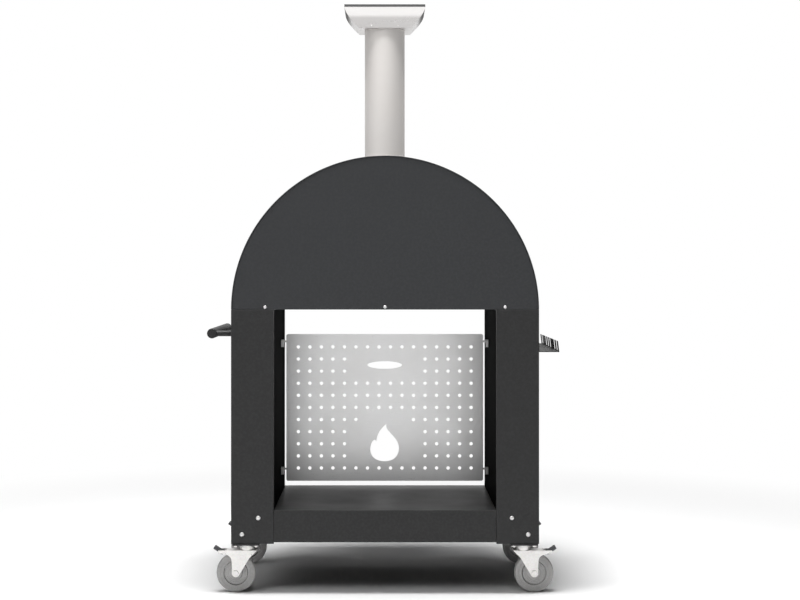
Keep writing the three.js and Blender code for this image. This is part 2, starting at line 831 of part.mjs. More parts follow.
function doorHandle() {
  const parts = [rodZ(5, gripX, gripY, gripLow - 10, gripHigh + 10, 12)];
  for (const z of [gripLow, gripHigh]) {
    parts.push(rodY(6, gripX, z, gripY, doorFrontY - fitGap - 1, 12));
    parts.push(rodY(12, gripX, z, doorFrontY - fitGap - 4, doorFrontY - fitGap, 16));
  }
  return join(...parts);
}

function doorGrip() {
  const z0 = gripLow + 7;
  const z1 = gripHigh - 7;
  return turnedZ(
    [[5.5, z0], [11, z0], [14, z0 + 12], [14.5, (z0 + z1) / 2], [14, z1 - 12], [11, z1], [5.5, z1]],
    gripX, gripY, 16,
  );
}

// Open-fronted cup with a centre post for the needle.
function thermometerCase() {
  const y1 = doorFrontY - fitGap;
  const cup = turnedY([[0, y1], [32, y1], [32, y1 - 16], [29, y1 - 16], [29, y1 - 3], [0, y1 - 3]], 0, dialZ, 32);
  return join(cup, rodY(1.5, 0, dialZ, y1 - 9, y1 - 2, 8));
}

// The needle points to the low end of the dial, lower left.
function thermometerNeedle() {
  const y = doorFrontY - fitGap - 7;
  const hub = rodY(4, 0, 0, y, y + 2, 12);
  const blade = block(-1.2, 1.2, y + 0.2, y + 1.8, -7, 22);
  const whole = cut(join(hub, blade), rodY(1.9, 0, 0, y - 5, y + 5, 8));
  return whole.rotateY(THREE.MathUtils.degToRad(-130)).translate(0, 0, dialZ);
}

function thermometerGlass() {
  const y = doorFrontY - fitGap - 14;
  return rodY(28.7, 0, dialZ, y, y + 1.5, 32);
}

piece('door_panel', doorPanel(), stainless);
piece('door_inner_plate', doorInnerPlate(), stainless);
piece('vent_slider', ventSlider(), stainless);
hingeHeights.forEach((height, k) => {
  const level = ['lower', 'upper'][k];
  piece(`${level}_hinge_base`, hingeBase(hearthZ + height), stainless);
  piece(`${level}_hinge_strap`, hingeStrap(hearthZ + height), stainless);
});
piece('door_handle', doorHandle(), stainless);
piece('door_grip', doorGrip(), wood);
piece('thermometer_case', thermometerCase(), brass);
piece('thermometer_needle', thermometerNeedle(), black);
piece('thermometer_glass', thermometerGlass(), clear);

// ---------- casters: drawn with the wheel trailing towards +X ----------

const forkTop = frameBottom - casterPlate - 21;
const forkInner = wheelWidth / 2 + 2.5;
const forkSheet = 3;
const axleRadius = 6;
const pedalPivot = [80, forkTop - 8];

function casterTopPlate() {
  const z1 = frameBottom - fitGap;
  const z0 = z1 - casterPlate;
  const head = turnedZ([[0, z0 + 1], [28, z0 + 1], [28, z0 - 8], [22, forkTop + 0.6], [0, forkTop + 0.6]], 0, 0, 24);
  return join(block(-43, 43, -52, 52, z0, z1), head);
}

function casterFork() {
  const tip = 12;
  const side = new THREE.Shape();
  side.moveTo(-31, forkTop);
  side.lineTo(-31, forkTop - 7);
  side.lineTo(-8, forkTop - 14);
  side.lineTo(wheelOffset - tip, wheelRadius);
  side.absarc(wheelOffset, wheelRadius, tip, Math.PI, 2 * Math.PI, false);
  side.lineTo(wheelOffset + tip, forkTop - 24);
  side.lineTo(60, forkTop - 18);
  side.lineTo(86, forkTop - 15);
  side.lineTo(91, forkTop - 8);
  side.lineTo(91, forkTop);
  side.closePath();
  const half = forkInner + forkSheet;
  return join(
    plateXZ(side, forkInner, half, 4),
    plateXZ(side, -half, -forkInner, 4),
    block(-31, 64, -half, half, forkTop - forkSheet, forkTop),
    rodY(axleRadius, wheelOffset, wheelRadius, -half - 6, half + 6, 12),
  );
}

// Flat facets touch the floor, so the corners stand a little outside the radius.
function casterWheel() {
  const flat = 1 / Math.cos(Math.PI / wheelSides);
  const rim = wheelRadius * flat;
  const half = wheelWidth / 2;
  const bore = axleRadius + 0.5;
  const profile = [
    [bore, -half - 1.8], [20, -half - 1.8], [22, -half + 5], [43, -half + 5], [45, -half],
    [rim - 3, -half], [rim, -half + 4], [rim, half - 4], [rim - 3, half],
    [45, half], [43, half - 5], [22, half - 5], [20, half + 1.8], [bore, half + 1.8],
  ];
  return turnedY(profile, wheelOffset, wheelRadius, wheelSides, Math.PI / wheelSides);
}

function brakePedal() {
  const [u, z] = pedalPivot;
  const shape = outline([
    [u - 7, z - 5], [u + 3, z - 5], [u + 11.5, z + 4], [u + 25.5, z + 13], [u + 26, z + 16],
    [u + 21.5, z + 19.5], [u + 7.5, z + 10.5], [u - 7, z + 5],
  ]);
  return plateXZ(shape, -forkInner + 2, forkInner - 2);
}

for (const [end, y] of [['rear', rearY - casterInsetY], ['front', cartFrontY + casterInsetY]]) {
  for (const [side, sign] of sides) {
    const corner = `${end}_${side}`;
    const parts = [
      piece(`${corner}_caster_plate`, casterTopPlate(), zinc),
      piece(`${corner}_caster_fork`, casterFork(), zinc),
      piece(`${corner}_wheel`, casterWheel(), tyreGrey),
      piece(`${corner}_brake_pedal`, brakePedal(), black),
    ];
    for (const part of parts) {
      part.position.set(sign * (halfWidth - casterInsetX), y, 0);
      part.rotation.z = sign > 0 ? 0 : Math.PI;
    }
  }
}

export default oven;
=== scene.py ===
import json
import math

import bpy
from mathutils import Matrix, Vector


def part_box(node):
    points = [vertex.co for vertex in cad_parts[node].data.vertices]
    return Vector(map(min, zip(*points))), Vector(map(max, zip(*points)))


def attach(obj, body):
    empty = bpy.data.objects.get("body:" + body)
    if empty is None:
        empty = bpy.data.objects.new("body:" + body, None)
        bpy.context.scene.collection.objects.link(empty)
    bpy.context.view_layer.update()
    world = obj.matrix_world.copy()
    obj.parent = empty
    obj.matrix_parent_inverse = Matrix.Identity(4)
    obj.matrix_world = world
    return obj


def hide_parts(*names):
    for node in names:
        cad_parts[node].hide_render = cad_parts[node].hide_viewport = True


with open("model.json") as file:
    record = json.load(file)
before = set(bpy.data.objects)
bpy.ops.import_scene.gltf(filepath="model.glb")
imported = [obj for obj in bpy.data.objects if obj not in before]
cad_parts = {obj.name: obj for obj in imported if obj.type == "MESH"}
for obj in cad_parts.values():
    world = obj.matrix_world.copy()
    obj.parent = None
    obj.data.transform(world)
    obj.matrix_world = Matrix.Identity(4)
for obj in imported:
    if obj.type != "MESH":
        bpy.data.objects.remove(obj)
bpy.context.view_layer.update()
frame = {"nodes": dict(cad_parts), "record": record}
mm = 0.001

bodyOf = {}
for body, members in frame["record"]["behaviour"]["bodies"].items():
    for member in members:
        bodyOf[member] = body

print("frame loaded")


# Working in object and edit mode.

def inMm(*corners):
    return [tuple(value * mm for value in corner) for corner in corners]


def makeActive(obj):
    for other in bpy.context.selected_objects:
        other.select_set(False)
    bpy.context.view_layer.objects.active = obj
    obj.select_set(True)


def pick(obj, kind, test):  # leaves the mesh in edit mode, with what passes the test selected
    makeActive(obj)
    bpy.ops.object.mode_set(mode="EDIT")
    bpy.ops.mesh.select_mode(type=kind)
    bpy.ops.mesh.select_all(action="DESELECT")
    bpy.ops.object.mode_set(mode="OBJECT")
    parts = {"VERT": obj.data.vertices, "EDGE": obj.data.edges, "FACE": obj.data.polygons}[kind]
    for part in parts:
        part.select = bool(test(part))
    bpy.ops.object.mode_set(mode="EDIT")


def objectMode():
    bpy.ops.object.mode_set(mode="OBJECT")


def settle(obj):
    makeActive(obj)
    bpy.ops.object.transform_apply(location=True, rotation=True, scale=True)


def applyModifiers(obj):
    makeActive(obj)
    for modifier in list(obj.modifiers):
        bpy.ops.object.modifier_apply(modifier=modifier.name)


def closeUp(obj, reach=0.01 * mm):  # merges doubles and turns the faces outwards
    pick(obj, "VERT", lambda vertex: True)
    bpy.ops.mesh.remove_doubles(threshold=reach)
    bpy.ops.mesh.normals_make_consistent(inside=False)
    objectMode()


def roundEdges(obj, width, segments=2, angle=35):
    bevel = obj.modifiers.new("roundedEdges", "BEVEL")
    bevel.width = width
    bevel.segments = segments
    bevel.limit_method = "ANGLE"
    bevel.angle_limit = math.radians(angle)
    applyModifiers(obj)


def carve(obj, *cutters, operation="DIFFERENCE"):
    for cutter in cutters:
        boolean = obj.modifiers.new("carve", "BOOLEAN")
        boolean.operation = operation
        boolean.solver = "EXACT"
        boolean.object = cutter
        applyModifiers(obj)
        bpy.data.objects.remove(cutter)
    return obj


def joined(first, *others):
    makeActive(first)
    for other in others:
        other.select_set(True)
    bpy.ops.object.join()
    return first


def copyOf(obj):
    twin = obj.copy()
    twin.data = obj.data.copy()
    bpy.context.scene.collection.objects.link(twin)
    return twin


def finishPiece(obj, name, material, body="oven", nodes=(), smooth=32, even=True):
    settle(obj)
    obj.name = name
    obj.data.name = name
    bpy.ops.object.shade_smooth_by_angle(angle=math.radians(smooth))
    if even:
        weighted = obj.modifiers.new("evenShading", "WEIGHTED_NORMAL")
        weighted.keep_sharp = True
        applyModifiers(obj)
    obj.data.materials.clear()
    obj.data.materials.append(material)
    if nodes:
        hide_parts(*nodes)
    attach(obj, body)
    return obj


# A CAD node's own shape with its edges rounded.
def fromCad(node, material, rounding=0.0, segments=2, smooth=32, extra=None):
    obj = copyOf(frame["nodes"][node])
    obj.parent = None
    for key in list(obj.keys()):
        del obj[key]
    pick(obj, "VERT", lambda vertex: True)
    bpy.ops.mesh.remove_doubles(threshold=0.01 * mm)
    bpy.ops.mesh.dissolve_limited(angle_limit=math.radians(0.5))
    objectMode()
    if extra:
        extra(obj)
    if rounding > 0:
        roundEdges(obj, rounding, segments)
    return finishPiece(obj, node + "_look", material, bodyOf[node], [node], smooth)


# A profile of (radius, height) corners, spun about the axis through the centre.
def turned(corners, centre=(0, 0, 0), axis=(0, 0, 1), steps=64):
    along = Vector(axis)
    across = Vector((1, 0, 0)) if abs(along.x) < 0.5 else Vector((0, 1, 0))
    spots = [Vector(centre) + across * radius + along * height for radius, height in corners]
    bpy.ops.mesh.primitive_plane_add(size=mm, location=spots[0])
    obj = bpy.context.object
    bpy.ops.object.mode_set(mode="EDIT")
    bpy.ops.mesh.select_mode(type="VERT")
    bpy.ops.mesh.select_all(action="SELECT")
    bpy.ops.mesh.merge(type="CENTER")
    for before, after in zip(spots, spots[1:]):
        bpy.ops.mesh.extrude_region_move(TRANSFORM_OT_translate={"value": after - before})
    bpy.ops.mesh.select_all(action="SELECT")
    bpy.ops.mesh.spin(steps=steps, angle=2 * math.pi, center=centre, axis=along)
    objectMode()
    settle(obj)
    closeUp(obj)
    return obj


def rod(start, end, radius, steps=32, rounding=0.0):
    start, end = Vector(start), Vector(end)
    length = (end - start).length
    corners = [(0, 0), (radius, 0), (radius, length), (0, length)]
    edge = min(rounding, radius * 0.9)
    if edge > 0:
        inner = radius - edge
        turns = [math.radians(90 * k / 5) for k in range(1, 5)]
        lower = [(inner + edge * math.sin(turn), edge - edge * math.cos(turn)) for turn in turns]
        lower = [(0, 0), (inner, 0)] + lower + [(radius, edge)]
        corners = lower + [(r, length - h) for r, h in reversed(lower)]
    return turned(corners, start, (end - start).normalized(), steps)


def block(low, high):
    low, high = Vector(low), Vector(high)
    bpy.ops.mesh.primitive_cube_add(size=1, location=(low + high) / 2)
    obj = bpy.context.object
    obj.scale = high - low
    settle(obj)
    return obj


# An upright half disc, cut from a circle and thickened from y0 to y1.
def archPlate(radius, baseZ, y0, y1, drop=0.0, steps=192):
    bpy.ops.mesh.primitive_circle_add(
        vertices=steps, radius=radius, fill_type="NGON",
        location=(0, y0, baseZ), rotation=(math.pi / 2, 0, 0),
    )
    obj = bpy.context.object
    bpy.ops.object.mode_set(mode="EDIT")
    bpy.ops.mesh.select_all(action="SELECT")
    bpy.ops.mesh.bisect(plane_co=(0, y0, baseZ), plane_no=(0, 0, 1), clear_inner=True)
    objectMode()
    settle(obj)
    if drop > 0:
        pick(obj, "EDGE", lambda edge: all(
            obj.data.vertices[k].co.z < baseZ + 0.01 * mm for k in edge.vertices))
        bpy.ops.mesh.extrude_region_move(TRANSFORM_OT_translate={"value": (0, 0, -drop)})
        objectMode()
    pick(obj, "FACE", lambda face: True)
    bpy.ops.mesh.extrude_region_move(TRANSFORM_OT_translate={"value": (0, y1 - y0, 0)})
    objectMode()
    closeUp(obj)
    pick(obj, "VERT", lambda vertex: True)
    bpy.ops.mesh.dissolve_limited(angle_limit=math.radians(0.3))
    objectMode()
    return obj


# A sheet cut to flat outlines in X and Z, the outer one first, between y0 and y1.
def cutSheet(outlines, y0, y1):
    curve = bpy.data.curves.new("outline", "CURVE")
    curve.dimensions = "2D"
    curve.fill_mode = "BOTH"
    curve.extrude = (y1 - y0) / 2
    for corners in outlines:
        spline = curve.splines.new("POLY")
        spline.points.add(len(corners) - 1)
        for point, (x, z) in zip(spline.points, corners):
            point.co = (x, z, 0, 1)
        spline.use_cyclic_u = True
    obj = bpy.data.objects.new("outline", curve)
    bpy.context.scene.collection.objects.link(obj)
    makeActive(obj)
    bpy.ops.object.convert(target="MESH")
    obj = bpy.context.object
    obj.rotation_euler = (math.pi / 2, 0, 0)
    obj.location = (0, (y0 + y1) / 2, 0)
    settle(obj)
    closeUp(obj)
    return obj


def arc(centre, radius, start, end, steps=12):  # degrees, anticlockwise from +X
    spots = []
    for k in range(steps + 1):
        turn = math.radians(start + (end - start) * k / steps)
        spots.append((centre[0] + radius * math.cos(turn), centre[1] + radius * math.sin(turn)))
    return spots


def bend(a, b, c, d, steps=12):  # points of a cubic curve from a to d
    spots = []
    for k in range(steps):
        t = k / steps
        u = 1 - t
        spots.append(tuple(
            u ** 3 * a[i] + 3 * u * u * t * b[i] + 3 * u * t * t * c[i] + t ** 3 * d[i] for i in (0, 1)
        ))
    return spots


def archOutline(radius, baseZ, drop=0.0, steps=96):
    corners = arc((0, baseZ), radius, 0, 180, steps)
    if drop > 0:
        corners = [(radius, baseZ - drop)] + corners + [(-radius, baseZ - drop)]
    return corners


# Building shaders.

def add(tree, kind, inputs=None, **settings):
    made = tree.nodes.new("ShaderNode" + kind)
    for key, value in settings.items():
        setattr(made, key, value)
    for key, value in (inputs or {}).items():
        made.inputs[key].default_value = value
    return made


def link(tree, source, target):
    tree.links.new(source, target)


def math2(tree, operation, first, second=None):
    made = add(tree, "Math", operation=operation)
    for k, value in enumerate((first, second)):
        if value is None:
            continue
        if isinstance(value, (int, float)):
            made.inputs[k].default_value = value
        else:
            link(tree, value, made.inputs[k])
    return made.outputs[0]


def blendColours(tree, mask, first, second, mode="MIX"):
    made = add(tree, "Mix", data_type="RGBA", blend_type=mode)
    if isinstance(mask, (int, float)):
        made.inputs[0].default_value = mask
    else:
        link(tree, mask, made.inputs[0])
    for k, value in ((6, first), (7, second)):
        if isinstance(value, (tuple, list)):
            made.inputs[k].default_value = (*value, 1)
        else:
            link(tree, value, made.inputs[k])
    return made.outputs[2]


def spread(tree, value, low, high, outLow, outHigh, smooth=False):
    made = add(tree, "MapRange", {"From Min": low, "From Max": high, "To Min": outLow, "To Max": outHigh})
    if smooth:
        made.interpolation_type = "SMOOTHSTEP"
    link(tree, value, made.inputs["Value"])
    return made.outputs["Result"]


def newGroup(name, inputs, outputs):
    group = bpy.data.node_groups.new(name, "ShaderNodeTree")
    for label, kind, value in inputs:
        socket = group.interface.new_socket(label, in_out="INPUT", socket_type="NodeSocket" + kind)
        socket.default_value = value
    for label, kind in outputs:
        group.interface.new_socket(label, in_out="OUTPUT", socket_type="NodeSocket" + kind)
    return group, group.nodes.new("NodeGroupInput"), group.nodes.new("NodeGroupOutput")


def place(tree, group, **values):
    made = tree.nodes.new("ShaderNodeGroup")
    made.node_tree = group
    for key, value in values.items():
        made.inputs[key].default_value = value
    return made.outputs[0]


def onPiece(tree, texture):  # gives a texture the piece's own coordinates
    link(tree, add(tree, "TexCoord").outputs["Object"], texture.inputs["Vector"])


def shares(tree, first, firstShare, second, secondShare):
    part = math2(tree, "MULTIPLY", first, firstShare)
    return math2(tree, "ADD", part, math2(tree, "MULTIPLY", second, secondShare))


def toned(colour, factor):
    return tuple(min(1.0, c * factor) for c in colour)


# Noise on the piece's own coordinates, stretched by a scale for each axis.
def makeGrainGroup():
    group, into, out = newGroup(
        "grain",
        [("Stretch", "Vector", (1, 1, 1)), ("Detail", "Float", 4.0), ("Contrast", "Float", 1.0)],
        [("Value", "Float")],
    )
    mapping = add(group, "Mapping")
    onPiece(group, mapping)
    link(group, into.outputs["Stretch"], mapping.inputs["Scale"])
    noise = add(group, "TexNoise", {"Scale": 1.0, "Roughness": 0.6})
    link(group, mapping.outputs[0], noise.inputs["Vector"])
    link(group, into.outputs["Detail"], noise.inputs["Detail"])
    centred = math2(group, "SUBTRACT", noise.outputs[0], 0.5)
    scaled = math2(group, "MULTIPLY", centred, into.outputs["Contrast"])
    clamped = add(group, "Clamp")
    link(group, math2(group, "ADD", scaled, 0.5), clamped.inputs[0])
    link(group, clamped.outputs[0], out.inputs["Value"])
    return group


# Bright on outside edges, broken up by noise.
def makeEdgeWearGroup():
    group, into, out = newGroup(
        "edgeWear", [("Amount", "Float", 0.5), ("Scale", "Float", 90.0)], [("Mask", "Float")],
    )
    geometry = add(group, "NewGeometry")
    ridge = spread(group, geometry.outputs["Pointiness"], 0.51, 0.6, 0.0, 1.0)
    noise = add(group, "TexNoise", {"Detail": 5.0, "Roughness": 0.65})
    onPiece(group, noise)
    link(group, into.outputs["Scale"], noise.inputs["Scale"])
    broken = spread(group, noise.outputs[0], 0.42, 0.62, 0.0, 1.0)
    both = math2(group, "MULTIPLY", ridge, broken)
    link(group, math2(group, "MULTIPLY", both, into.outputs["Amount"]), out.inputs["Mask"])
    return group


# Fine dust that settles on faces that look up.
def makeDustGroup():
    group, into, out = newGroup(
        "settledDust", [("Amount", "Float", 0.2), ("Scale", "Float", 35.0)], [("Mask", "Float")],
    )
    geometry = add(group, "NewGeometry")
    apart = add(group, "SeparateXYZ")
    link(group, geometry.outputs["Normal"], apart.inputs[0])
    upward = spread(group, apart.outputs["Z"], 0.35, 1.0, 0.0, 1.0)
    noise = add(group, "TexNoise", {"Detail": 7.0, "Roughness": 0.7})
    onPiece(group, noise)
    link(group, into.outputs["Scale"], noise.inputs["Scale"])
    patchy = spread(group, noise.outputs[0], 0.3, 0.75, 0.15, 1.0)
    both = math2(group, "MULTIPLY", upward, patchy)
    link(group, math2(group, "MULTIPLY", both, into.outputs["Amount"]), out.inputs["Mask"])
    return group


grain = makeGrainGroup()
edgeWear = makeEdgeWearGroup()
settledDust = makeDustGroup()


def newMaterial(name, roughness=0.5, metallic=0.0, specular=0.5):
    material = bpy.data.materials.new(name)
    material.use_nodes = True
    tree = material.node_tree
    shader = tree.nodes["Principled BSDF"]
    shader.inputs["Roughness"].default_value = roughness
    shader.inputs["Metallic"].default_value = metallic
    shader.inputs["Specular IOR Level"].default_value = specular
    return material, tree, shader


def bump(tree, shader, height, strength, distance):
    made = add(tree, "Bump", {"Strength": strength, "Distance": distance})
    link(tree, height, made.inputs["Height"])
    link(tree, made.outputs[0], shader.inputs["Normal"])


def colourTo(tree, shader, colour):
    link(tree, colour, shader.inputs["Base Color"])


def roughTo(tree, shader, value):
    link(tree, value, shader.inputs["Roughness"])


def powderCoat(name, colour, roughness, worn=0.2):
    material, tree, shader = newMaterial(name, roughness, 0.0, 0.3)
    broad = place(tree, grain, Stretch=(3, 3, 3), Detail=3.0, Contrast=1.4)
    fine = place(tree, grain, Stretch=(420, 420, 420), Detail=2.0, Contrast=1.0)
    wear = place(tree, edgeWear, Amount=worn, Scale=120.0)
    dust = place(tree, settledDust, Amount=0.03, Scale=30.0)
    base = blendColours(tree, broad, toned(colour, 0.95), toned(colour, 1.05))
    speckled = blendColours(tree, spread(tree, fine, 0.3, 0.8, 0.0, 0.035), base, toned(colour, 1.5))
    worked = blendColours(tree, wear, speckled, (0.09, 0.09, 0.093))
    colourTo(tree, shader, blendColours(tree, dust, worked, (0.20, 0.195, 0.19)))
    roughTo(tree, shader, spread(tree, broad, 0.2, 0.8, roughness - 0.06, roughness + 0.07))
    bump(tree, shader, fine, 0.04, 0.2 * mm)
    return material


# Rolled or brushed steel: fine lines along the long way of the stretch.
def brushedSteel(name, colour, roughness, stretch, streak=0.12, tint=(0.94, 0.93, 0.92), lines=0.06,
                 metallic=1.0):
    material, tree, shader = newMaterial(name, roughness, metallic)
    brushed = place(tree, grain, Stretch=stretch, Detail=5.0, Contrast=1.8)
    broad = place(tree, grain, Stretch=(5, 5, 5), Detail=4.0, Contrast=1.5)
    lined = blendColours(tree, brushed, toned(colour, 1 - streak), toned(colour, 1 + streak))
    tinted = tuple(c * t for c, t in zip(colour, tint))
    colourTo(tree, shader, blendColours(tree, spread(tree, broad, 0.35, 0.8, 0.0, 0.5), lined, tinted))
    mixed = shares(tree, brushed, 0.7, broad, 0.3)
    roughTo(tree, shader, spread(tree, mixed, 0.2, 0.8, roughness - 0.08, roughness + 0.1))
    bump(tree, shader, brushed, lines, 0.2 * mm)
    return material


# Painted shade on the cap's steel: greyer below a height, and dark high up on the faces that look sideways,
# in place of their darker reflections; the dark part is also made rougher and less metallic.
def paintCapShade(material, low, high, metallic=0.85):
    tree = material.node_tree
    shader = next(node for node in tree.nodes if node.type == "BSDF_PRINCIPLED")
    before = shader.inputs["Base Color"].links[0].from_socket
    where = add(tree, "TexCoord")
    at = add(tree, "SeparateXYZ")
    facing = add(tree, "SeparateXYZ")
    link(tree, where.outputs["Object"], at.inputs[0])
    link(tree, where.outputs["Normal"], facing.inputs[0])
    sideways = spread(tree, math2(tree, "ABSOLUTE", facing.outputs["X"]), 0.35, 0.6, 0.0, 1.0)
    raised = spread(tree, at.outputs["Z"], low - 0.012, high, 0.0, 0.93)
    # Painted shade: grey below the height, dark high up on the sideways faces.
    lowShadeMask = spread(tree, at.outputs["Z"], low, high, 0.5, 0.0, True)
    shadedBelow = blendColours(tree, lowShadeMask, before, (0.34, 0.325, 0.32))
    sootAndPaintedShade = math2(tree, "MULTIPLY", sideways, raised)
    colourTo(tree, shader, blendColours(tree, sootAndPaintedShade, shadedBelow, (0.07, 0.07, 0.068)))
    polish = shader.inputs["Roughness"].links[0].from_socket
    roughTo(tree, shader, math2(tree, "MAXIMUM", polish, math2(tree, "MULTIPLY", sootAndPaintedShade, 0.95)))
    unshaded = math2(tree, "SUBTRACT", 1.0, sootAndPaintedShade)
    link(tree, math2(tree, "MULTIPLY", unshaded, metallic), shader.inputs["Metallic"])


def zincPlate(name, colour, roughness, metallic=0.85):
    material, tree, shader = newMaterial(name, roughness, metallic)
    spangle = add(tree, "TexVoronoi", {"Scale": 260.0, "Randomness": 1.0}, feature="F1")
    onPiece(tree, spangle)
    cloudy = place(tree, grain, Stretch=(60, 60, 60), Detail=5.0, Contrast=1.5)
    base = blendColours(tree, cloudy, toned(colour, 0.86), colour)
    spangled = blendColours(tree, 0.10, base, spangle.outputs["Color"], "SOFT_LIGHT")
    wear = place(tree, edgeWear, Amount=0.5, Scale=200.0)
    colourTo(tree, shader, blendColours(tree, wear, spangled, (0.9, 0.89, 0.87)))
    roughTo(tree, shader, spread(tree, cloudy, 0.2, 0.8, roughness - 0.07, roughness + 0.12))
    bump(tree, shader, cloudy, 0.08, 0.2 * mm)
    return material


def mouldedPlastic(name, colour, roughness, scale=500, depth=0.15, specular=0.5):
    material, tree, shader = newMaterial(name, roughness, 0.0, specular)
    fine = place(tree, grain, Stretch=(scale, scale, scale), Detail=3.0, Contrast=1.6)
    broad = place(tree, grain, Stretch=(22, 22, 22), Detail=4.0, Contrast=1.6)
    wear = place(tree, edgeWear, Amount=0.35, Scale=150.0)
    base = blendColours(tree, broad, toned(colour, 0.85), toned(colour, 1.12))
    speckled = blendColours(tree, spread(tree, fine, 0.3, 0.8, 0.0, 0.35), base, toned(colour, 1.5))
    colourTo(tree, shader, blendColours(tree, wear, speckled, toned(colour, 2.2)))
    roughTo(tree, shader, spread(tree, fine, 0.2, 0.8, roughness - 0.06, roughness + 0.08))
    bump(tree, shader, fine, depth, 0.2 * mm)
    return material


def firebrick(name):
    material, tree, shader = newMaterial(name, 0.93)
    pores = add(tree, "TexVoronoi", {"Scale": 180.0}, feature="F1")
    onPiece(tree, pores)
    sand = place(tree, grain, Stretch=(240, 240, 240), Detail=6.0, Contrast=1.8)
    broad = place(tree, grain, Stretch=(9, 9, 9), Detail=5.0, Contrast=2.2)
    base = blendColours(tree, sand, (0.50, 0.40, 0.28), (0.74, 0.65, 0.50))
    soot = spread(tree, broad, 0.45, 0.95, 0.0, 0.75, True)
    sootAndPaintedShade = blendColours(tree, soot, base, (0.09, 0.075, 0.06))
    # Painted shade in the pores: their centres are coloured dark brown as well as bumped in.
    holes = spread(tree, pores.outputs["Distance"], 0.0, 0.35, 0.0, 1.0)
    colourTo(tree, shader, blendColours(tree, holes, (0.30, 0.23, 0.16), sootAndPaintedShade))
    bump(tree, shader, shares(tree, holes, 0.6, sand, 0.5), 0.5, 0.8 * mm)
    return material


def mineralWool(name):
    material, tree, shader = newMaterial(name, 1.0, 0.0, 0.1)
    fibres = place(tree, grain, Stretch=(500, 60, 220), Detail=6.0, Contrast=2.0)
    crossing = place(tree, grain, Stretch=(60, 420, 300), Detail=6.0, Contrast=2.0)
    both = math2(tree, "MAXIMUM", fibres, crossing)
    colourTo(tree, shader, blendColours(tree, both, (0.42, 0.40, 0.34), (0.80, 0.78, 0.70)))
    bump(tree, shader, both, 0.8, 1.5 * mm)
    return material


def beech(name):
    material, tree, shader = newMaterial(name, 0.5)
    mapping = add(tree, "Mapping", {"Scale": (1, 1, 0.12), "Location": (-0.15, 0.27, 0)})
    onPiece(tree, mapping)
    rings = add(tree, "TexWave", {"Scale": 90.0, "Distortion": 6.0, "Detail": 3.0, "Detail Scale": 1.4},
                wave_type="RINGS", rings_direction="Z")
    link(tree, mapping.outputs[0], rings.inputs["Vector"])
    flecks = place(tree, grain, Stretch=(900, 900, 60), Detail=4.0, Contrast=2.2)
    base = blendColours(tree, rings.outputs["Fac"], (0.40, 0.19, 0.075), (0.60, 0.33, 0.15))
    fleck = spread(tree, flecks, 0.55, 0.9, 0.0, 0.6)
    colourTo(tree, shader, blendColours(tree, fleck, base, (0.24, 0.10, 0.04)))
    roughTo(tree, shader, spread(tree, flecks, 0.2, 0.8, 0.42, 0.6))
    bump(tree, shader, flecks, 0.15, 0.2 * mm)
    return material


# Steel that has seen fire: straw, brown and blue tints, and soot towards the top.
def firedSteel(name, lowZ, highZ):
    material, tree, shader = newMaterial(name, 0.5, 1.0)
    place3d = add(tree, "TexCoord")
    apart = add(tree, "SeparateXYZ")
    link(tree, place3d.outputs["Object"], apart.inputs[0])
    patches = place(tree, grain, Stretch=(11, 11, 11), Detail=6.0, Contrast=1.8)
    fine = place(tree, grain, Stretch=(260, 260, 260), Detail=4.0, Contrast=1.5)
    raised = spread(tree, apart.outputs["Z"], lowZ, highZ, -0.15, 0.55)
    heat = math2(tree, "ADD", patches, raised)
    ramp = add(tree, "ValToRGB")
    link(tree, heat, ramp.inputs[0])
    stops = ramp.color_ramp.elements
    stops[0].position, stops[0].color = 0.1, (0.55, 0.52, 0.47, 1)
    stops[1].position, stops[1].color = 1.0, (0.035, 0.032, 0.03, 1)
    for spot, colour in ((0.35, (0.48, 0.36, 0.20, 1)), (0.5, (0.26, 0.16, 0.11, 1)),
                         (0.62, (0.14, 0.15, 0.20, 1)), (0.78, (0.07, 0.065, 0.065, 1))):
        stop = stops.new(spot)
        stop.color = colour
    colourTo(tree, shader, ramp.outputs[0])
    roughTo(tree, shader, spread(tree, heat, 0.1, 1.0, 0.34, 0.9))
    link(tree, spread(tree, heat, 0.5, 1.0, 1.0, 0.15), shader.inputs["Metallic"])
    bump(tree, shader, fine, 0.15, 0.3 * mm)
    return material


def enamel(name, colour):
    material, tree, shader = newMaterial(name, 0.35)
    fine = place(tree, grain, Stretch=(700, 700, 700), Detail=3.0, Contrast=1.0)
    broad = place(tree, grain, Stretch=(40, 40, 40), Detail=3.0, Contrast=1.0)
    colourTo(tree, shader, blendColours(tree, broad, toned(colour, 0.93), colour))
    roughTo(tree, shader, spread(tree, fine, 0.2, 0.8, 0.3, 0.42))
    bump(tree, shader, fine, 0.05, 0.1 * mm)
    return material


def dialGlass(name):
    material, tree, shader = newMaterial(name, 0.03)
    shader.inputs["Transmission Weight"].default_value = 1.0
    shader.inputs["IOR"].default_value = 1.46
    smear = place(tree, grain, Stretch=(70, 70, 70), Detail=5.0, Contrast=1.8)
    roughTo(tree, shader, spread(tree, smear, 0.4, 0.9, 0.02, 0.12))
    colourTo(tree, shader, blendColours(tree, smear, (0.97, 0.985, 0.99), (1, 1, 1)))
    return material


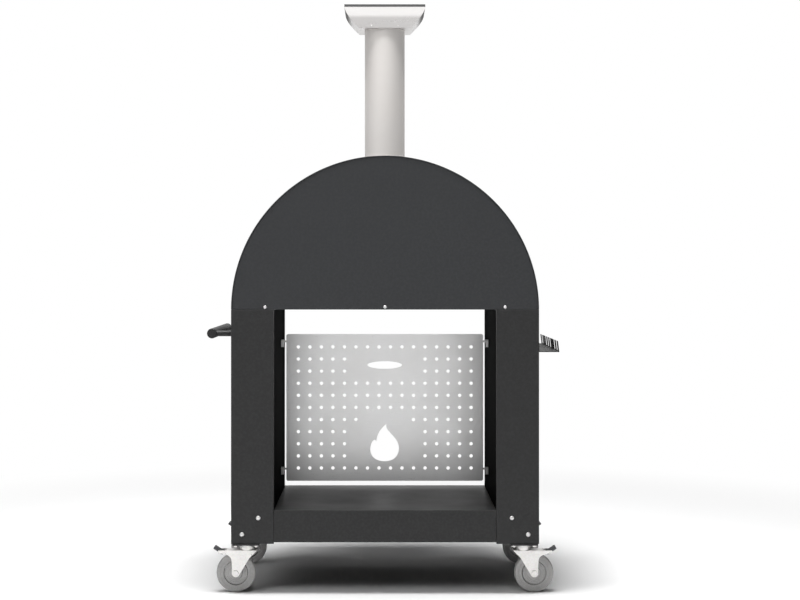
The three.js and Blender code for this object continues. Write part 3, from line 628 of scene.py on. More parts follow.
charcoal = powderCoat("charcoalPowderCoat", (0.0215, 0.0215, 0.0217), 0.5)
shelfPaint = powderCoat("shelfPowderCoat", (0.0175, 0.0175, 0.0177), 0.41)
slatePaint = powderCoat("slatePowderCoat", (0.0325, 0.0340, 0.0364), 0.5)
panelSteel = brushedSteel("panelSteel", (0.86, 0.86, 0.86), 0.34, (14, 500, 900), 0.03, metallic=0.75)
plainSteel = brushedSteel("plainSteel", (0.62, 0.615, 0.605), 0.32, (900, 900, 12))
pipeSteel = brushedSteel(
    "pipeSteel", (0.69, 0.665, 0.645), 0.6, (300, 300, 6), 0.02, (0.98, 0.965, 0.955), 0.015, 0.4)
capSteel = brushedSteel(
    "capSteel", (0.90, 0.885, 0.875), 0.3, (5, 5, 40), 0.02, (0.98, 0.97, 0.965), 0.004, 0.85)
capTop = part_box("cap_bowl")[1].z
# Painted shade on the cap: greyer low down, dark high up on its sides.
paintCapShade(capSteel, capTop - 48.5 * mm, capTop - 33.5 * mm)
# A dark steel for the hem round the cap's rim: painted shade for its dark reflection.
shadedHemSteel = brushedSteel("shadedHemSteel", (0.11, 0.11, 0.11), 0.4, (12, 12, 600), 0.05, metallic=0.6)
screwSteel = zincPlate("screwSteel", (0.74, 0.735, 0.73), 0.34)
casterZinc = zincPlate("casterZinc", (0.86, 0.845, 0.825), 0.34, 0.6)
greyRubber = mouldedPlastic("greyRubber", (0.34, 0.335, 0.33), 0.62, 420, 0.15, 0.3)
hubPlastic = mouldedPlastic("hubPlastic", (0.36, 0.355, 0.35), 0.5, 300, 0.08, 0.4)
pedalPlastic = mouldedPlastic("pedalPlastic", (0.055, 0.056, 0.06), 0.5, 600, 0.25)
knobPlastic = mouldedPlastic("knobPlastic", (0.02, 0.02, 0.021), 0.38, 700, 0.15)
needlePaint = mouldedPlastic("needlePaint", (0.02, 0.02, 0.02), 0.4, 900, 0.1)
hearthClay = firebrick("hearthClay")
wool = mineralWool("wool")
gripBeech = beech("gripBeech")
dialWhite = enamel("dialWhite", (0.86, 0.85, 0.82))
dialInk = enamel("dialInk", (0.02, 0.02, 0.022))
glass = dialGlass("dialGlass")
chamberLow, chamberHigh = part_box("cooking_chamber")
firedLining = firedSteel("firedLining", chamberLow.z, chamberHigh.z)

print("materials ready")


# Fastener profiles as (radius, height) from the face that they sit on.
screwStyles = {
    "dome": lambda r, h: [
        (0, h), (0.32 * r, 0.96 * h), (0.6 * r, 0.8 * h), (0.84 * r, 0.5 * h), (r, 0),
        (r, -0.4 * mm), (0, -0.4 * mm)],
    "socket": lambda r, h: [
        (0, 0.45 * h), (0.34 * r, 0.45 * h), (0.38 * r, 0.97 * h), (0.62 * r, 0.82 * h),
        (0.85 * r, 0.5 * h), (r, 0.05 * h), (r, -0.4 * mm), (0, -0.4 * mm)],
}


def fasteners(name, spots, facing, radius, height, style="socket", steps=20, body="oven",
              material=screwSteel):
    master = turned(screwStyles[style](radius, height), steps=steps)
    turn = Vector(facing).to_track_quat("Z", "Y").to_matrix().to_4x4()
    heads = []
    for spot in spots:
        head = copyOf(master)
        head.matrix_world = Matrix.Translation(spot) @ turn
        heads.append(head)
    bpy.data.objects.remove(master)
    bpy.context.view_layer.update()
    whole = joined(*heads) if len(heads) > 1 else heads[0]
    return finishPiece(whole, name, material, body, smooth=40, even=False)


# The cart.

cart = {
    "edge": 2.2 * mm, "boltRadius": 7.2 * mm, "boltHeight": 3.4 * mm,
    "boltUp": (30 * mm, 82.5 * mm), "boltIn": (34.5 * mm, 86.5 * mm),
    "wallBoltRadius": 3.8 * mm, "wallBoltHeight": 2.2 * mm, "wallBoltUp": 73 * mm, "wallBoltIn": 50 * mm,
}
frameLow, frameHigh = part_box("right_side_frame")
for side, sign in (("right", 1), ("left", -1)):
    fromCad(side + "_side_frame", charcoal, cart["edge"], 3)
    fromCad(side + "_base_rail", charcoal, 0.8 * mm)
    leg = []
    for up, inward in zip(cart["boltUp"], cart["boltIn"]):
        leg.append((sign * (frameHigh.x - inward), frameHigh.y, frameLow.z + up))
    wall = []
    for y in (frameHigh.y - cart["wallBoltIn"], frameLow.y + cart["wallBoltIn"]):
        wall.append((sign * frameHigh.x, y, frameLow.z + cart["wallBoltUp"]))
    front = [(x, frameLow.y, z) for x, y, z in leg]
    fasteners(side + "_leg_bolts", leg, (0, 1, 0), cart["boltRadius"], cart["boltHeight"], "dome", 32)
    fasteners(side + "_wall_bolts", wall, (sign, 0, 0), cart["wallBoltRadius"], cart["wallBoltHeight"],
              "dome", 28, material=charcoal)
    fasteners(side + "_front_leg_bolts", front, (0, -1, 0), cart["boltRadius"], cart["boltHeight"],
              "dome", 32)
fromCad("bottom_shelf", shelfPaint, 1.4 * mm, 3)

print("cart ready")

# The perforated panel and its clips.

perforated = {
    "pitchX": 40.8 * mm, "pitchZ": 42.9 * mm, "holeRadius": 6 * mm, "margin": 36 * mm, "holeSides": 20,
    "cornerRadius": 7 * mm, "slotHalf": 61 * mm, "slotRise": 13.3 * mm, "edge": 0.3 * mm,
}
clip = {"outward": 5 * mm, "seat": 5.2 * mm, "inset": 7 * mm}


def flameOutline(z):  # the same drop as in the CAD part
    knots = [
        (0, -62), (42, -62), (58, -34), (48, -2), (44, 14), (34, 20), (30, 8), (26, 40), (12, 56), (-6, 70),
        (2, 44), (-50, 26), (-50, -16), (-50, -44), (-30, -62), (0, -62),
    ]
    spots = [(x, z + h) for x, h in inMm(*knots)]
    corners = []
    for k in range(0, 15, 3):
        corners += bend(*spots[k:k + 4], steps=14)
    return corners


def perforatedPanel():
    low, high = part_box("perforated_panel")
    p = perforated
    r = p["cornerRadius"]
    outer = []
    x0, x1, z0, z1 = low.x + r, high.x - r, low.z + r, high.z - r
    corners = ((x1, z0), (x1, z1), (x0, z1), (x0, z0))
    for k, corner in enumerate(corners):
        outer += arc(corner, r, 90 * k - 90, 90 * k, 8)
    columns = int((high.x - low.x - 2 * p["margin"]) / p["pitchX"]) + 1
    rows = int((high.z - low.z - 2 * p["margin"]) / p["pitchZ"]) + 1
    middle = (low.z + high.z) / 2
    topRow = middle + (rows - 1) / 2 * p["pitchZ"]
    slotZ = topRow - 1.5 * p["pitchZ"]
    flameZ = middle - 3 * p["pitchZ"]
    flatten = p["slotRise"] / p["slotHalf"]
    slotOutline = [(x, slotZ + z * flatten) for x, z in arc((0, 0), p["slotHalf"], 0, 355, 71)]
    outlines = [outer, slotOutline, flameOutline(flameZ)]
    for row in range(rows):
        for column in range(columns):
            x = (column - (columns - 1) / 2) * p["pitchX"]
            z = topRow - row * p["pitchZ"]
            byFlame = abs(z - flameZ) < 1.5 * p["pitchZ"] and abs(x) < 2.8 * p["pitchX"]
            overFlame = 0 < z - flameZ < 2.5 * p["pitchZ"] and abs(x) < 1.8 * p["pitchX"]
            bySlot = abs(z - slotZ) < p["pitchZ"] and abs(x) < 2.8 * p["pitchX"]
            if not (byFlame or overFlame or bySlot):
                last = 360 - 360 / p["holeSides"]
                outlines.append(arc((x, z), p["holeRadius"], 0, last, p["holeSides"] - 1))
    panel = cutSheet(outlines, low.y, high.y)
    roundEdges(panel, p["edge"], 1)
    finishPiece(panel, "perforated_panel_look", panelSteel, nodes=["perforated_panel"])


perforatedPanel()
for side, sign in (("right", 1), ("left", -1)):
    for level in ("upper", "lower"):
        node = side + "_" + level + "_panel_clip"
        fromCad(node, screwSteel, 0.7 * mm)
        low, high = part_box(node)
        x = (low.x + high.x) / 2 + sign * clip["outward"]
        spots = [(x, high.y - clip["seat"], z) for z in (low.z + clip["inset"], high.z - clip["inset"])]
        fasteners(node + "_screws", spots, (0, 1, 0), 2.6 * mm, 1.6 * mm, steps=16)

print("perforated panel ready")

# The side handle and the tool rack.

handle = {
    "barRadius": 16 * mm, "armRadius": 9.5 * mm, "endRound": 2.2 * mm, "armInset": 14 * mm,
    "flangeRadius": 19 * mm, "flange": 4 * mm, "weld": 2.5 * mm, "screwUp": 13.5 * mm,
}


def sideHandle():
    low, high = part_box("side_handle")
    h = handle
    x = high.x - h["barRadius"]
    z = (low.z + high.z) / 2
    arm, wide, thick = h["armRadius"], h["flangeRadius"], h["flange"]
    bar = rod((x, low.y, z), (x, high.y, z), h["barRadius"], 64, h["endRound"])
    parts = []
    screws = []
    for y in (low.y + h["armInset"], high.y - h["armInset"]):
        parts.append(rod((low.x + mm, y, z), (x, y, z), arm, 40))
        flange = [
            (0, 0), (wide, 0), (wide, thick - mm), (wide - mm, thick), (arm + h["weld"], thick),
            (arm, thick + h["weld"]), (0, thick + h["weld"]),
        ]
        parts.append(turned(flange, (low.x, y, z), (1, 0, 0), 48))
        for dz in (-h["screwUp"], h["screwUp"]):
            screws.append((low.x + thick, y, z + dz))
    for part in parts:
        carve(bar, part, operation="UNION")
    finishPiece(bar, "side_handle_look", charcoal, nodes=["side_handle"])
    fasteners("side_handle_screws", screws, (1, 0, 0), 3 * mm, 2 * mm, steps=18)


sideHandle()
fromCad("tool_rack", charcoal, 0.5 * mm)
rackLow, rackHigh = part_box("tool_rack")
rack = {"sheet": 3 * mm, "screwUp": 20 * mm, "screwShares": (0.08, 0.36, 0.64, 0.92)}
rackSpots = []
for share in rack["screwShares"]:
    y = rackLow.y + share * (rackHigh.y - rackLow.y)
    rackSpots.append((rackHigh.x - rack["sheet"], y, rackLow.z + rack["screwUp"]))
fasteners("tool_rack_screws", rackSpots, (-1, 0, 0), 4 * mm, 2.4 * mm)

print("handle and rack ready")

# The oven's body.

shell = {
    "sheet": 3 * mm, "edge": 0.5 * mm, "panelEdge": 0.8 * mm, "steps": 256,
    "backScrewX": 382 * mm, "backScrewUp": 8 * mm, "frontScrewRing": 470 * mm,
    "frontScrewTurns": (2, 30, 60, 120, 150, 178),
}


def roofShell():
    low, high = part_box("roof_shell")
    outer = high.x
    inner = outer - shell["sheet"]
    roof = archPlate(outer, low.z, low.y, high.y, steps=shell["steps"])
    hollow = archPlate(inner, low.z, low.y - 5 * mm, high.y + 5 * mm, 5 * mm, shell["steps"])
    carve(roof, hollow)
    neckLow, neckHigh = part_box("flue_neck")
    centre = (neckLow + neckHigh) / 2
    radius = (neckHigh.x - neckLow.x) / 2 + 2.5 * mm
    carve(roof, rod((0, centre.y, high.z - 60 * mm), (0, centre.y, high.z + 20 * mm), radius, 64))
    roundEdges(roof, shell["edge"], 2)
    finishPiece(roof, "roof_shell_look", slatePaint, nodes=["roof_shell"])


def backPanel():
    low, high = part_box("back_panel")
    panel = archPlate(high.x, low.z, low.y, high.y, steps=shell["steps"])
    roundEdges(panel, shell["panelEdge"], 2)
    finishPiece(panel, "back_panel_look", slatePaint, nodes=["back_panel"])
    up = low.z + shell["backScrewUp"]
    spots = [(x, high.y, up) for x in (-shell["backScrewX"], 0, shell["backScrewX"])]
    fasteners("back_panel_screws", spots, (0, 1, 0), 5.4 * mm, 2.6 * mm, "dome", 28)


def frontPanel():
    low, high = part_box("front_panel")
    mouthLow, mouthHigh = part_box("mouth_frame")
    rodLow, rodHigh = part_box("damper_blade")
    panel = archPlate(high.x, low.z, low.y, high.y, steps=shell["steps"])
    sill = mouthLow.z + 6 * mm
    carve(panel, archPlate(mouthHigh.x - 19 * mm, sill, low.y - 5 * mm, high.y + 5 * mm, 4 * mm, 128))
    z = (rodLow.z + rodHigh.z) / 2
    carve(panel, rod((0, low.y - 5 * mm, z), (0, high.y + 5 * mm, z), rodHigh.x + mm, 32))
    roundEdges(panel, shell["panelEdge"], 2)
    finishPiece(panel, "front_panel_look", slatePaint, nodes=["front_panel"])
    ring = shell["frontScrewRing"]
    turns = [math.radians(degrees) for degrees in shell["frontScrewTurns"]]
    spots = [(ring * math.cos(turn), low.y, low.z + ring * math.sin(turn)) for turn in turns]
    fasteners("front_panel_screws", spots, (0, -1, 0), 4.2 * mm, 2.2 * mm)


def mouthFrame():
    low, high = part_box("mouth_frame")
    sill = low.z + 6 * mm
    opening = high.x - 23 * mm
    hole = archOutline(opening, sill)
    flange = cutSheet([archOutline(high.x, sill, 6 * mm), hole], low.y, low.y + 3 * mm)
    lining = cutSheet([archOutline(opening + 3 * mm, sill, 3 * mm), hole], low.y + mm, high.y)
    carve(flange, lining, operation="UNION")
    roundEdges(flange, 0.6 * mm, 2)
    finishPiece(flange, "mouth_frame_look", plainSteel, nodes=["mouth_frame"])


roofShell()
backPanel()
frontPanel()
mouthFrame()
fromCad("base_pan", charcoal, 0.8 * mm)
fromCad("floor_insulation", wool, 3 * mm)
for node in ("insulation_blanket", "back_insulation", "front_insulation"):
    fromCad(node, wool, 2 * mm)
fromCad("cooking_chamber", firedLining, 0.6 * mm, smooth=40)
for side in ("right", "left"):
    fromCad(side + "_hearth_tile", hearthClay, 2.2 * mm, 3)
fromCad("landing_shelf", plainSteel, 1.3 * mm, 3)

print("oven body ready")

# The flue and its cap.

flue = {
    "steps": 96, "wall": 2.5 * mm, "lip": 0.8 * mm, "collarSkirt": 104 * mm, "collarRing": 76 * mm,
    "collarOver": 0.3 * mm, "collarSheet": 2.5 * mm, "collarEndWall": 5.5 * mm, "rivetRing": 92 * mm,
}


def roofCollar():
    low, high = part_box("roof_collar")
    roofLow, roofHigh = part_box("roof_shell")
    y = (low.y + high.y) / 2
    inside = roofHigh.x + flue["collarOver"]
    outside = inside + flue["collarSheet"]

    def along(reach, radius):
        return rod((0, low.y - reach, roofLow.z), (0, high.y + reach, roofLow.z), radius, 512)

    def upright(z0, z1, radius):
        return rod((0, y, z0), (0, y, z1), radius, flue["steps"])

    skirt = along(10 * mm, outside)
    under, over = roofHigh.z - 60 * mm, 20 * mm
    carve(skirt, upright(under, roofHigh.z + over, flue["collarSkirt"]), operation="INTERSECT")
    carve(skirt, upright(under, high.z, flue["collarRing"]), operation="UNION")
    carve(skirt, along(20 * mm, inside))
    carve(skirt, upright(roofLow.z, high.z + over, flue["collarRing"] - flue["collarEndWall"]))
    roundEdges(skirt, 0.7 * mm, 2, 50)
    finishPiece(skirt, "roof_collar_look", plainSteel, nodes=["roof_collar"])
    spots = []
    for k in range(8):
        turn = math.radians(22.5 + 45 * k)
        x = flue["rivetRing"] * math.cos(turn)
        z = roofLow.z + math.sqrt(outside ** 2 - x * x)
        spots.append((x, y + flue["rivetRing"] * math.sin(turn), z))
    fasteners("roof_collar_rivets", spots, (0, 0, 1), 3.2 * mm, 1.8 * mm, "dome")


def fluePipe():
    low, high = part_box("flue_pipe")
    outer = high.x
    inner = outer - flue["wall"]
    y = (low.y + high.y) / 2
    lip = flue["lip"]
    corners = [
        (inner + lip, low.z), (outer - lip, low.z), (outer, low.z + lip), (outer, high.z - lip),
        (outer - lip, high.z), (inner + lip, high.z), (inner, high.z - lip), (inner, low.z + lip),
        (inner + lip, low.z),
    ]
    pipe = turned(corners, (0, y, 0), (0, 0, 1), flue["steps"])
    finishPiece(pipe, "flue_pipe_look", pipeSteel, nodes=["flue_pipe"])


def flueNeck():
    low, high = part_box("flue_neck")
    rodLow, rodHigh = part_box("damper_blade")
    y = (low.y + high.y) / 2
    z = (rodLow.z + rodHigh.z) / 2
    outer = high.x
    inner = outer - flue["wall"]
    wall = [(inner, low.z), (outer, low.z), (outer, high.z), (inner, high.z), (inner, low.z)]
    neck = turned(wall, (0, y, 0), (0, 0, 1), flue["steps"])
    carve(neck, rod((0, low.y - 5 * mm, z), (0, high.y + 5 * mm, z), rodHigh.x + 0.5 * mm, 24))
    roundEdges(neck, 0.5 * mm, 1)
    finishPiece(neck, "flue_neck_look", firedLining, nodes=["flue_neck"])


cap = {
    "rim": 9 * mm, "margin": 19.5 * mm, "depthMargin": 10 * mm, "curveSteps": 14, "sheet": 2.5 * mm,
    "shoulder": (0.95, 0.64), "edge": 0.8 * mm, "rivetX": 46 * mm, "rivetUp": 6 * mm, "rivetOut": 1.2 * mm,
    "rivetRadius": 2.6 * mm, "rivetHeight": 1.6 * mm,
}


# A flat sheet whose border is drawn up and out, step by step, into a bowl.
def capBowl():
    low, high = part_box("cap_bowl")
    pipeLow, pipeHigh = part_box("flue_pipe")
    y = (low.y + high.y) / 2
    start = Vector((pipeHigh.x + cap["margin"], pipeHigh.x + cap["depthMargin"]))
    flare = Vector((high.x - start.x, (high.y - low.y) / 2 - start.y))
    rise = high.z - cap["rim"] - low.z
    curve = []
    for k in range(cap["curveSteps"] + 1):
        t = k / cap["curveSteps"]
        a, b = 2 * t * (1 - t), t * t
        curve.append((start + flare * (a * cap["shoulder"][0] + b), rise * (a * cap["shoulder"][1] + b)))
    curve.append((start + flare, high.z - low.z))
    bpy.ops.mesh.primitive_plane_add(size=2, location=(0, y, low.z))
    bowl = bpy.context.object
    bpy.ops.object.mode_set(mode="EDIT")
    bpy.ops.mesh.select_mode(type="FACE")
    bpy.ops.mesh.select_all(action="SELECT")
    bpy.ops.transform.resize(value=(start.x, start.y, 1), center_override=(0, y, low.z))
    for before, after in zip(curve, curve[1:]):
        bpy.ops.mesh.extrude_region_move(TRANSFORM_OT_translate={"value": (0, 0, after[1] - before[1])})
        grow = (after[0].x / before[0].x, after[0].y / before[0].y, 1)
        bpy.ops.transform.resize(value=grow, center_override=(0, y, low.z))
    bpy.ops.mesh.delete(type="ONLY_FACE")
    objectMode()
    settle(bowl)
    if not any(face.normal.z < -0.99 for face in bowl.data.polygons):
        pick(bowl, "VERT", lambda vertex: abs(vertex.co.z - low.z) < 0.01 * mm)
        bpy.ops.mesh.edge_face_add()
        objectMode()
    closeUp(bowl)
    downward = [face for face in bowl.data.polygons if abs(face.normal.z) > 0.99]
    if downward and downward[0].normal.z > 0:
        pick(bowl, "FACE", lambda face: True)
        bpy.ops.mesh.flip_normals()
        objectMode()
    wall = bowl.modifiers.new("wall", "SOLIDIFY")
    wall.thickness = cap["sheet"]
    wall.offset = -1
    wall.use_even_offset = True
    applyModifiers(bowl)
    carve(bowl, rod((0, y, low.z - 10 * mm), (0, y, low.z + 10 * mm), pipeHigh.x + 0.4 * mm, flue["steps"]))
    roundEdges(bowl, cap["edge"], 2, 40)
    finishPiece(bowl, "cap_bowl_look", capSteel, nodes=["cap_bowl"], smooth=25)
    bowl.data.materials.append(shadedHemSteel)
    for face in bowl.data.polygons:  # the rolled hem round the rim takes the dark steel, a painted shade
        if face.center.z > high.z - 0.8 * cap["rim"]:
            face.material_index = 1
    for end, way in (("rear", 1), ("front", -1)):
        seat = y + way * (start.y + cap["rivetOut"])
        rivets = [(x, seat, low.z + cap["rivetUp"]) for x in (-cap["rivetX"], cap["rivetX"])]
        fasteners("cap_" + end + "_rivets", rivets, (0, way * 0.97, -0.24), cap["rivetRadius"],
                  cap["rivetHeight"], "dome", 24)


flueNeck()
roofCollar()
fluePipe()
capBowl()
fromCad("cap_lid", capSteel, 0.8 * mm)
fromCad("damper_blade", firedLining, 0.3 * mm, 1)


def damperKnob():
    low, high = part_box("damper_knob")
    z = (low.z + high.z) / 2
    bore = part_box("damper_blade")[1].x + 0.3 * mm
    profile = [
        (0, low.y + 12 * mm), (12 * mm, low.y + 12 * mm), (15 * mm, low.y + 15 * mm), (15 * mm, high.y - mm),
        (14 * mm, high.y), (bore, high.y), (bore, high.y - 17 * mm), (0, high.y - 17 * mm),
    ]
    body = turned(profile, (0, 0, z), (0, 1, 0), 48)
    tip = 7 * mm
    outline = arc((0, high.z - tip), tip, 0, 180, 14) + arc((0, low.z + tip), tip, 180, 360, 14)
    lever = cutSheet([outline], low.y, low.y + 14 * mm)
    carve(body, lever, operation="UNION")
    roundEdges(body, 1.6 * mm, 3, 40)
    turning = bodyOf["damper_knob"]
    finishPiece(body, "damper_knob_look", knobPlastic, turning, ["damper_knob"])
    fasteners("damper_knob_screw", [(0, low.y, z)], (0, -1, 0), 4 * mm, 2 * mm, body=turning)


damperKnob()

print("flue ready")

# The door.

door = {"ventRadius": 11 * mm, "ventPitch": 44 * mm, "ventMiddle": -20 * mm, "vents": 3, "edge": 1.6 * mm}


def doorPanel():
    low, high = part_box("door_panel")
    sliderLow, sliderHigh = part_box("vent_slider")
    front = high.y - 10 * mm
    base = low.z + 5 * mm
    ventZ = (sliderLow.z + sliderHigh.z) / 2
    panel = archPlate(high.x, base, front, high.y, 5 * mm)
    roundEdges(panel, door["edge"], 3)
    x0, x1 = sliderLow.x - 4 * mm, sliderHigh.x + 22 * mm + 4 * mm
    for sign in (1, -1):
        edge = ventZ + sign * 15.5 * mm
        spans = [((edge, edge + sign * 4 * mm), front - 3.2 * mm, front + mm),
                 ((edge - sign * 3 * mm, edge + sign * 4 * mm), front - 5 * mm, front - 3.1 * mm)]
        for (za, zb), y0, y1 in spans:
            guide = block((x0, y0, min(za, zb)), (x1, y1, max(za, zb)))
            roundEdges(guide, 0.5 * mm, 1)
            carve(panel, guide, operation="UNION")
    for k in range(door["vents"]):
        x = door["ventMiddle"] + (k - (door["vents"] - 1) / 2) * door["ventPitch"]
        carve(panel, rod((x, front - 10 * mm, ventZ), (x, high.y + 5 * mm, ventZ), door["ventRadius"], 40))
    finishPiece(panel, "door_panel_look", panelSteel, "door", ["door_panel"])
    beadRadius = high.x - 12 * mm
    spots = []
    for k in range(7):
        turn = math.radians(20 + 140 * k / 6)
        spots.append((beadRadius * math.cos(turn), front, base + beadRadius * math.sin(turn)))
    fasteners("door_rivets", spots, (0, -1, 0), 3.4 * mm, 1.8 * mm, "dome", body="door")
    straps = []
    for node in ("lower_hinge_strap", "upper_hinge_strap"):
        a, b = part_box(node)
        for x in (b.x - 12 * mm, b.x - 34 * mm):
            straps.append((x, front - 3.3 * mm, (a.z + b.z) / 2))
    fasteners("hinge_rivets", straps, (0, -1, 0), 4 * mm, 2 * mm, "dome", body="door")


def innerPlate():
    low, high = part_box("door_inner_plate")
    sliderLow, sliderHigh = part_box("vent_slider")
    ventZ = (sliderLow.z + sliderHigh.z) / 2
    plate = archPlate(high.x, low.z, low.y, high.y)
    roundEdges(plate, 1.2 * mm, 2)
    for k in range(door["vents"]):
        x = door["ventMiddle"] + (k - (door["vents"] - 1) / 2) * door["ventPitch"]
        carve(plate, rod((x, low.y - 5 * mm, ventZ), (x, high.y + 5 * mm, ventZ), door["ventRadius"], 40))
    finishPiece(plate, "door_inner_plate_look", firedLining, "door", ["door_inner_plate"])


def thermometer():
    low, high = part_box("thermometer_case")
    x, z = (low.x + high.x) / 2, (low.z + high.z) / 2
    r = high.x - x
    face = high.y - 3 * mm
    profile = [
        (0, high.y), (r - mm, high.y), (r, high.y - mm), (r, low.y + 1.6 * mm), (r - 1.4 * mm, low.y),
        (r - 2.6 * mm, low.y), (r - 3 * mm, low.y + 0.6 * mm), (r - 3 * mm, face), (0, face),
    ]
    case = turned(profile, (x, 0, z), (0, 1, 0), 96)
    finishPiece(case, "thermometer_case_look", plainSteel, "door", ["thermometer_case"])
    rim = r - 3.4 * mm
    seat, top = face - 0.1 * mm, face - 0.6 * mm
    dial = turned([(0, seat), (rim, seat), (rim, top), (0, top)], (x, 0, z), (0, 1, 0), 72)
    finishPiece(dial, "thermometer_dial", dialWhite, "door", even=False)
    ticks = []
    for k in range(27):
        turn = math.radians(220 - 260 * k / 26)
        outer = r - 5 * mm
        inner = outer - (5 * mm if k % 5 == 0 else 3 * mm)
        across = Vector((-math.sin(turn), math.cos(turn))) * (0.45 * mm if k % 5 == 0 else 0.25 * mm)
        along = Vector((math.cos(turn), math.sin(turn)))
        middle = Vector((x, z))
        ticks.append([tuple(middle + along * inner - across), tuple(middle + along * outer - across),
                      tuple(middle + along * outer + across), tuple(middle + along * inner + across)])
    marks = cutSheet(ticks, face - 0.85 * mm, face - 0.5 * mm)
    digits = []
    for k in range(6):
        turn = math.radians(220 - 260 * k * 5 / 26)
        bpy.ops.object.text_add()
        digit = bpy.context.object
        digit.data.body = str(k * 100)
        digit.data.size = 6 * mm
        digit.data.align_x = "CENTER"
        digit.data.align_y = "CENTER"
        digit.data.extrude = 0.15 * mm
        makeActive(digit)
        bpy.ops.object.convert(target="MESH")
        digit = bpy.context.object
        digit.rotation_euler = (math.pi / 2, 0, 0)
        digit.location = (x + 15 * mm * math.cos(turn), face - 0.65 * mm, z + 15 * mm * math.sin(turn))
        settle(digit)
        digits.append(digit)
    joined(marks, *digits)
    closeUp(marks, 0.001 * mm)
    finishPiece(marks, "thermometer_marks", dialInk, "door", even=False)
    glassLow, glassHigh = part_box("thermometer_glass")
    profile = [
        (0, glassLow.y), (rim - 0.8 * mm, glassLow.y), (rim, glassLow.y + 0.7 * mm), (rim, glassHigh.y),
        (0, glassHigh.y),
    ]
    disc = turned(profile, (x, 0, z), (0, 1, 0), 72)
    finishPiece(disc, "thermometer_glass_look", glass, "door", ["thermometer_glass"])


def gripPieces():
    low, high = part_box("door_grip")
    x, y = (low.x + high.x) / 2, (low.y + high.y) / 2
    length = high.z - low.z
    corners = [(5.5 * mm, low.z), (10 * mm, low.z), (11.2 * mm, low.z + 1.2 * mm)]
    for k in range(1, 12):
        t = k / 12
        corners.append(((11.2 + 3.3 * math.sin(math.pi * t) ** 0.7) * mm, low.z + length * t))
    corners += [(11.2 * mm, high.z - 1.2 * mm), (10 * mm, high.z), (5.5 * mm, high.z), (5.5 * mm, low.z)]
    grip = turned(corners, (x, y, 0), (0, 0, 1), 56)
    finishPiece(grip, "door_grip_look", gripBeech, "door", ["door_grip"], smooth=40)


doorPanel()
innerPlate()
thermometer()
gripPieces()
fromCad("door_handle", plainSteel, 0.6 * mm, smooth=45)
fromCad("vent_slider", plainSteel, 0.4 * mm, smooth=45)
fromCad("thermometer_needle", needlePaint, 0.15 * mm, 1)
for level in ("lower", "upper"):
    fromCad(level + "_hinge_base", plainSteel, 0.6 * mm, smooth=45)
    fromCad(level + "_hinge_strap", plainSteel, 0.6 * mm, smooth=45)

print("door ready")

# The casters, drawn with the wheel trailing towards +X from the swivel axis.

caster = {
    "wheelRadius": 62.5 * mm, "wheelHalf": 16 * mm, "offset": 34.5 * mm, "forkInner": 18.5 * mm,
    "forkTop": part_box("rear_right_caster_fork")[1].z, "forkSheet": 3 * mm, "forkBack": 31 * mm,
    "forkFront": 91 * mm, "forkPlate": 64 * mm, "tip": 12.5 * mm, "axle": 6 * mm, "edge": 0.7 * mm,
    "plateSheet": 5 * mm, "plateHalfX": 43 * mm, "plateHalfY": 52 * mm, "boltX": 33 * mm, "boltY": 40 * mm,
}


def forkOutline():
    u, z, tip, top = caster["offset"], caster["wheelRadius"], caster["tip"], caster["forkTop"]
    back, front = -caster["forkBack"], caster["forkFront"]
    shoulder = (back, top - 3 * mm)
    corners = [(back, top), shoulder]
    corners += bend(shoulder, (-20 * mm, top - 12 * mm), (-9 * mm, top - 22 * mm), (0, top - 40 * mm), 10)
    corners += arc((u, z), tip, 205, 360, 18)
    side = u + tip
    waist = (side + 3 * mm, z + 48 * mm)
    corners += bend((side, z), (side, z + 28 * mm), (side, z + 40 * mm), waist, 8)
    nose = (front, top - 9 * mm)
    corners += bend(waist, (side + 8 * mm, z + 58 * mm), (side + 22 * mm, z + 62 * mm), nose, 10)
    corners += [nose, (front, top)]
    return corners


def forkPiece():
    outline = forkOutline()
    near = caster["forkInner"]
    far = near + caster["forkSheet"]
    fork = cutSheet([outline], near, far)
    top = caster["forkTop"]
    bridge = (-caster["forkBack"], -far, top - caster["forkSheet"]), (caster["forkPlate"], far, top)
    carve(fork, cutSheet([outline], -far, -near), block(*bridge), operation="UNION")
    roundEdges(fork, caster["edge"], 2)
    u, z = caster["offset"], caster["wheelRadius"]
    axle = rod((u, -far - 4 * mm, z), (u, far + 4 * mm, z), caster["axle"] - 0.1 * mm, 32, 0.8 * mm)
    profile = inMm((0, 0), (9.5, 0), (10.2, 0.8), (10.2, 4.4), (9, 5.4), (0, 5.4))
    nuts = [turned(profile, (u, way * far, z), (0, way, 0), 6) for way in (1, -1)]
    return joined(fork, axle, *nuts)


# A profile's one side in millimetres from a corner, mirrored, and spun about the axle.
def wheelRing(side, outer):
    half = caster["wheelHalf"]
    side = [(outer + r, half + h) for r, h in inMm(*side)]
    corners = side + [(r, -h) for r, h in reversed(side)] + [side[0]]
    return turned(corners, (caster["offset"], 0, caster["wheelRadius"]), (0, 1, 0), 96)


def tyrePiece():
    return wheelRing([
        (-23.6, -2.4), (-23, -0.3), (-19.5, 0), (-14.5, 0), (-14.1, -0.5), (-13.1, -0.5), (-12.7, -0.1),
        (-6, -0.8), (-2.4, -2.6), (-0.6, -6), (0, -10),
    ], caster["wheelRadius"])


def hubPiece():
    return wheelRing([
        (0.5, 1.8), (7, 1.8), (8, 0.8), (13, 0.6), (14.5, -1.5), (16, -3.2), (23, -3.4), (23.6, -2.6),
        (25, -2.6), (25.6, -3.2), (29, -2.4), (30.4, -0.9), (31.2, -1.2), (31.6, -4),
    ], caster["axle"])


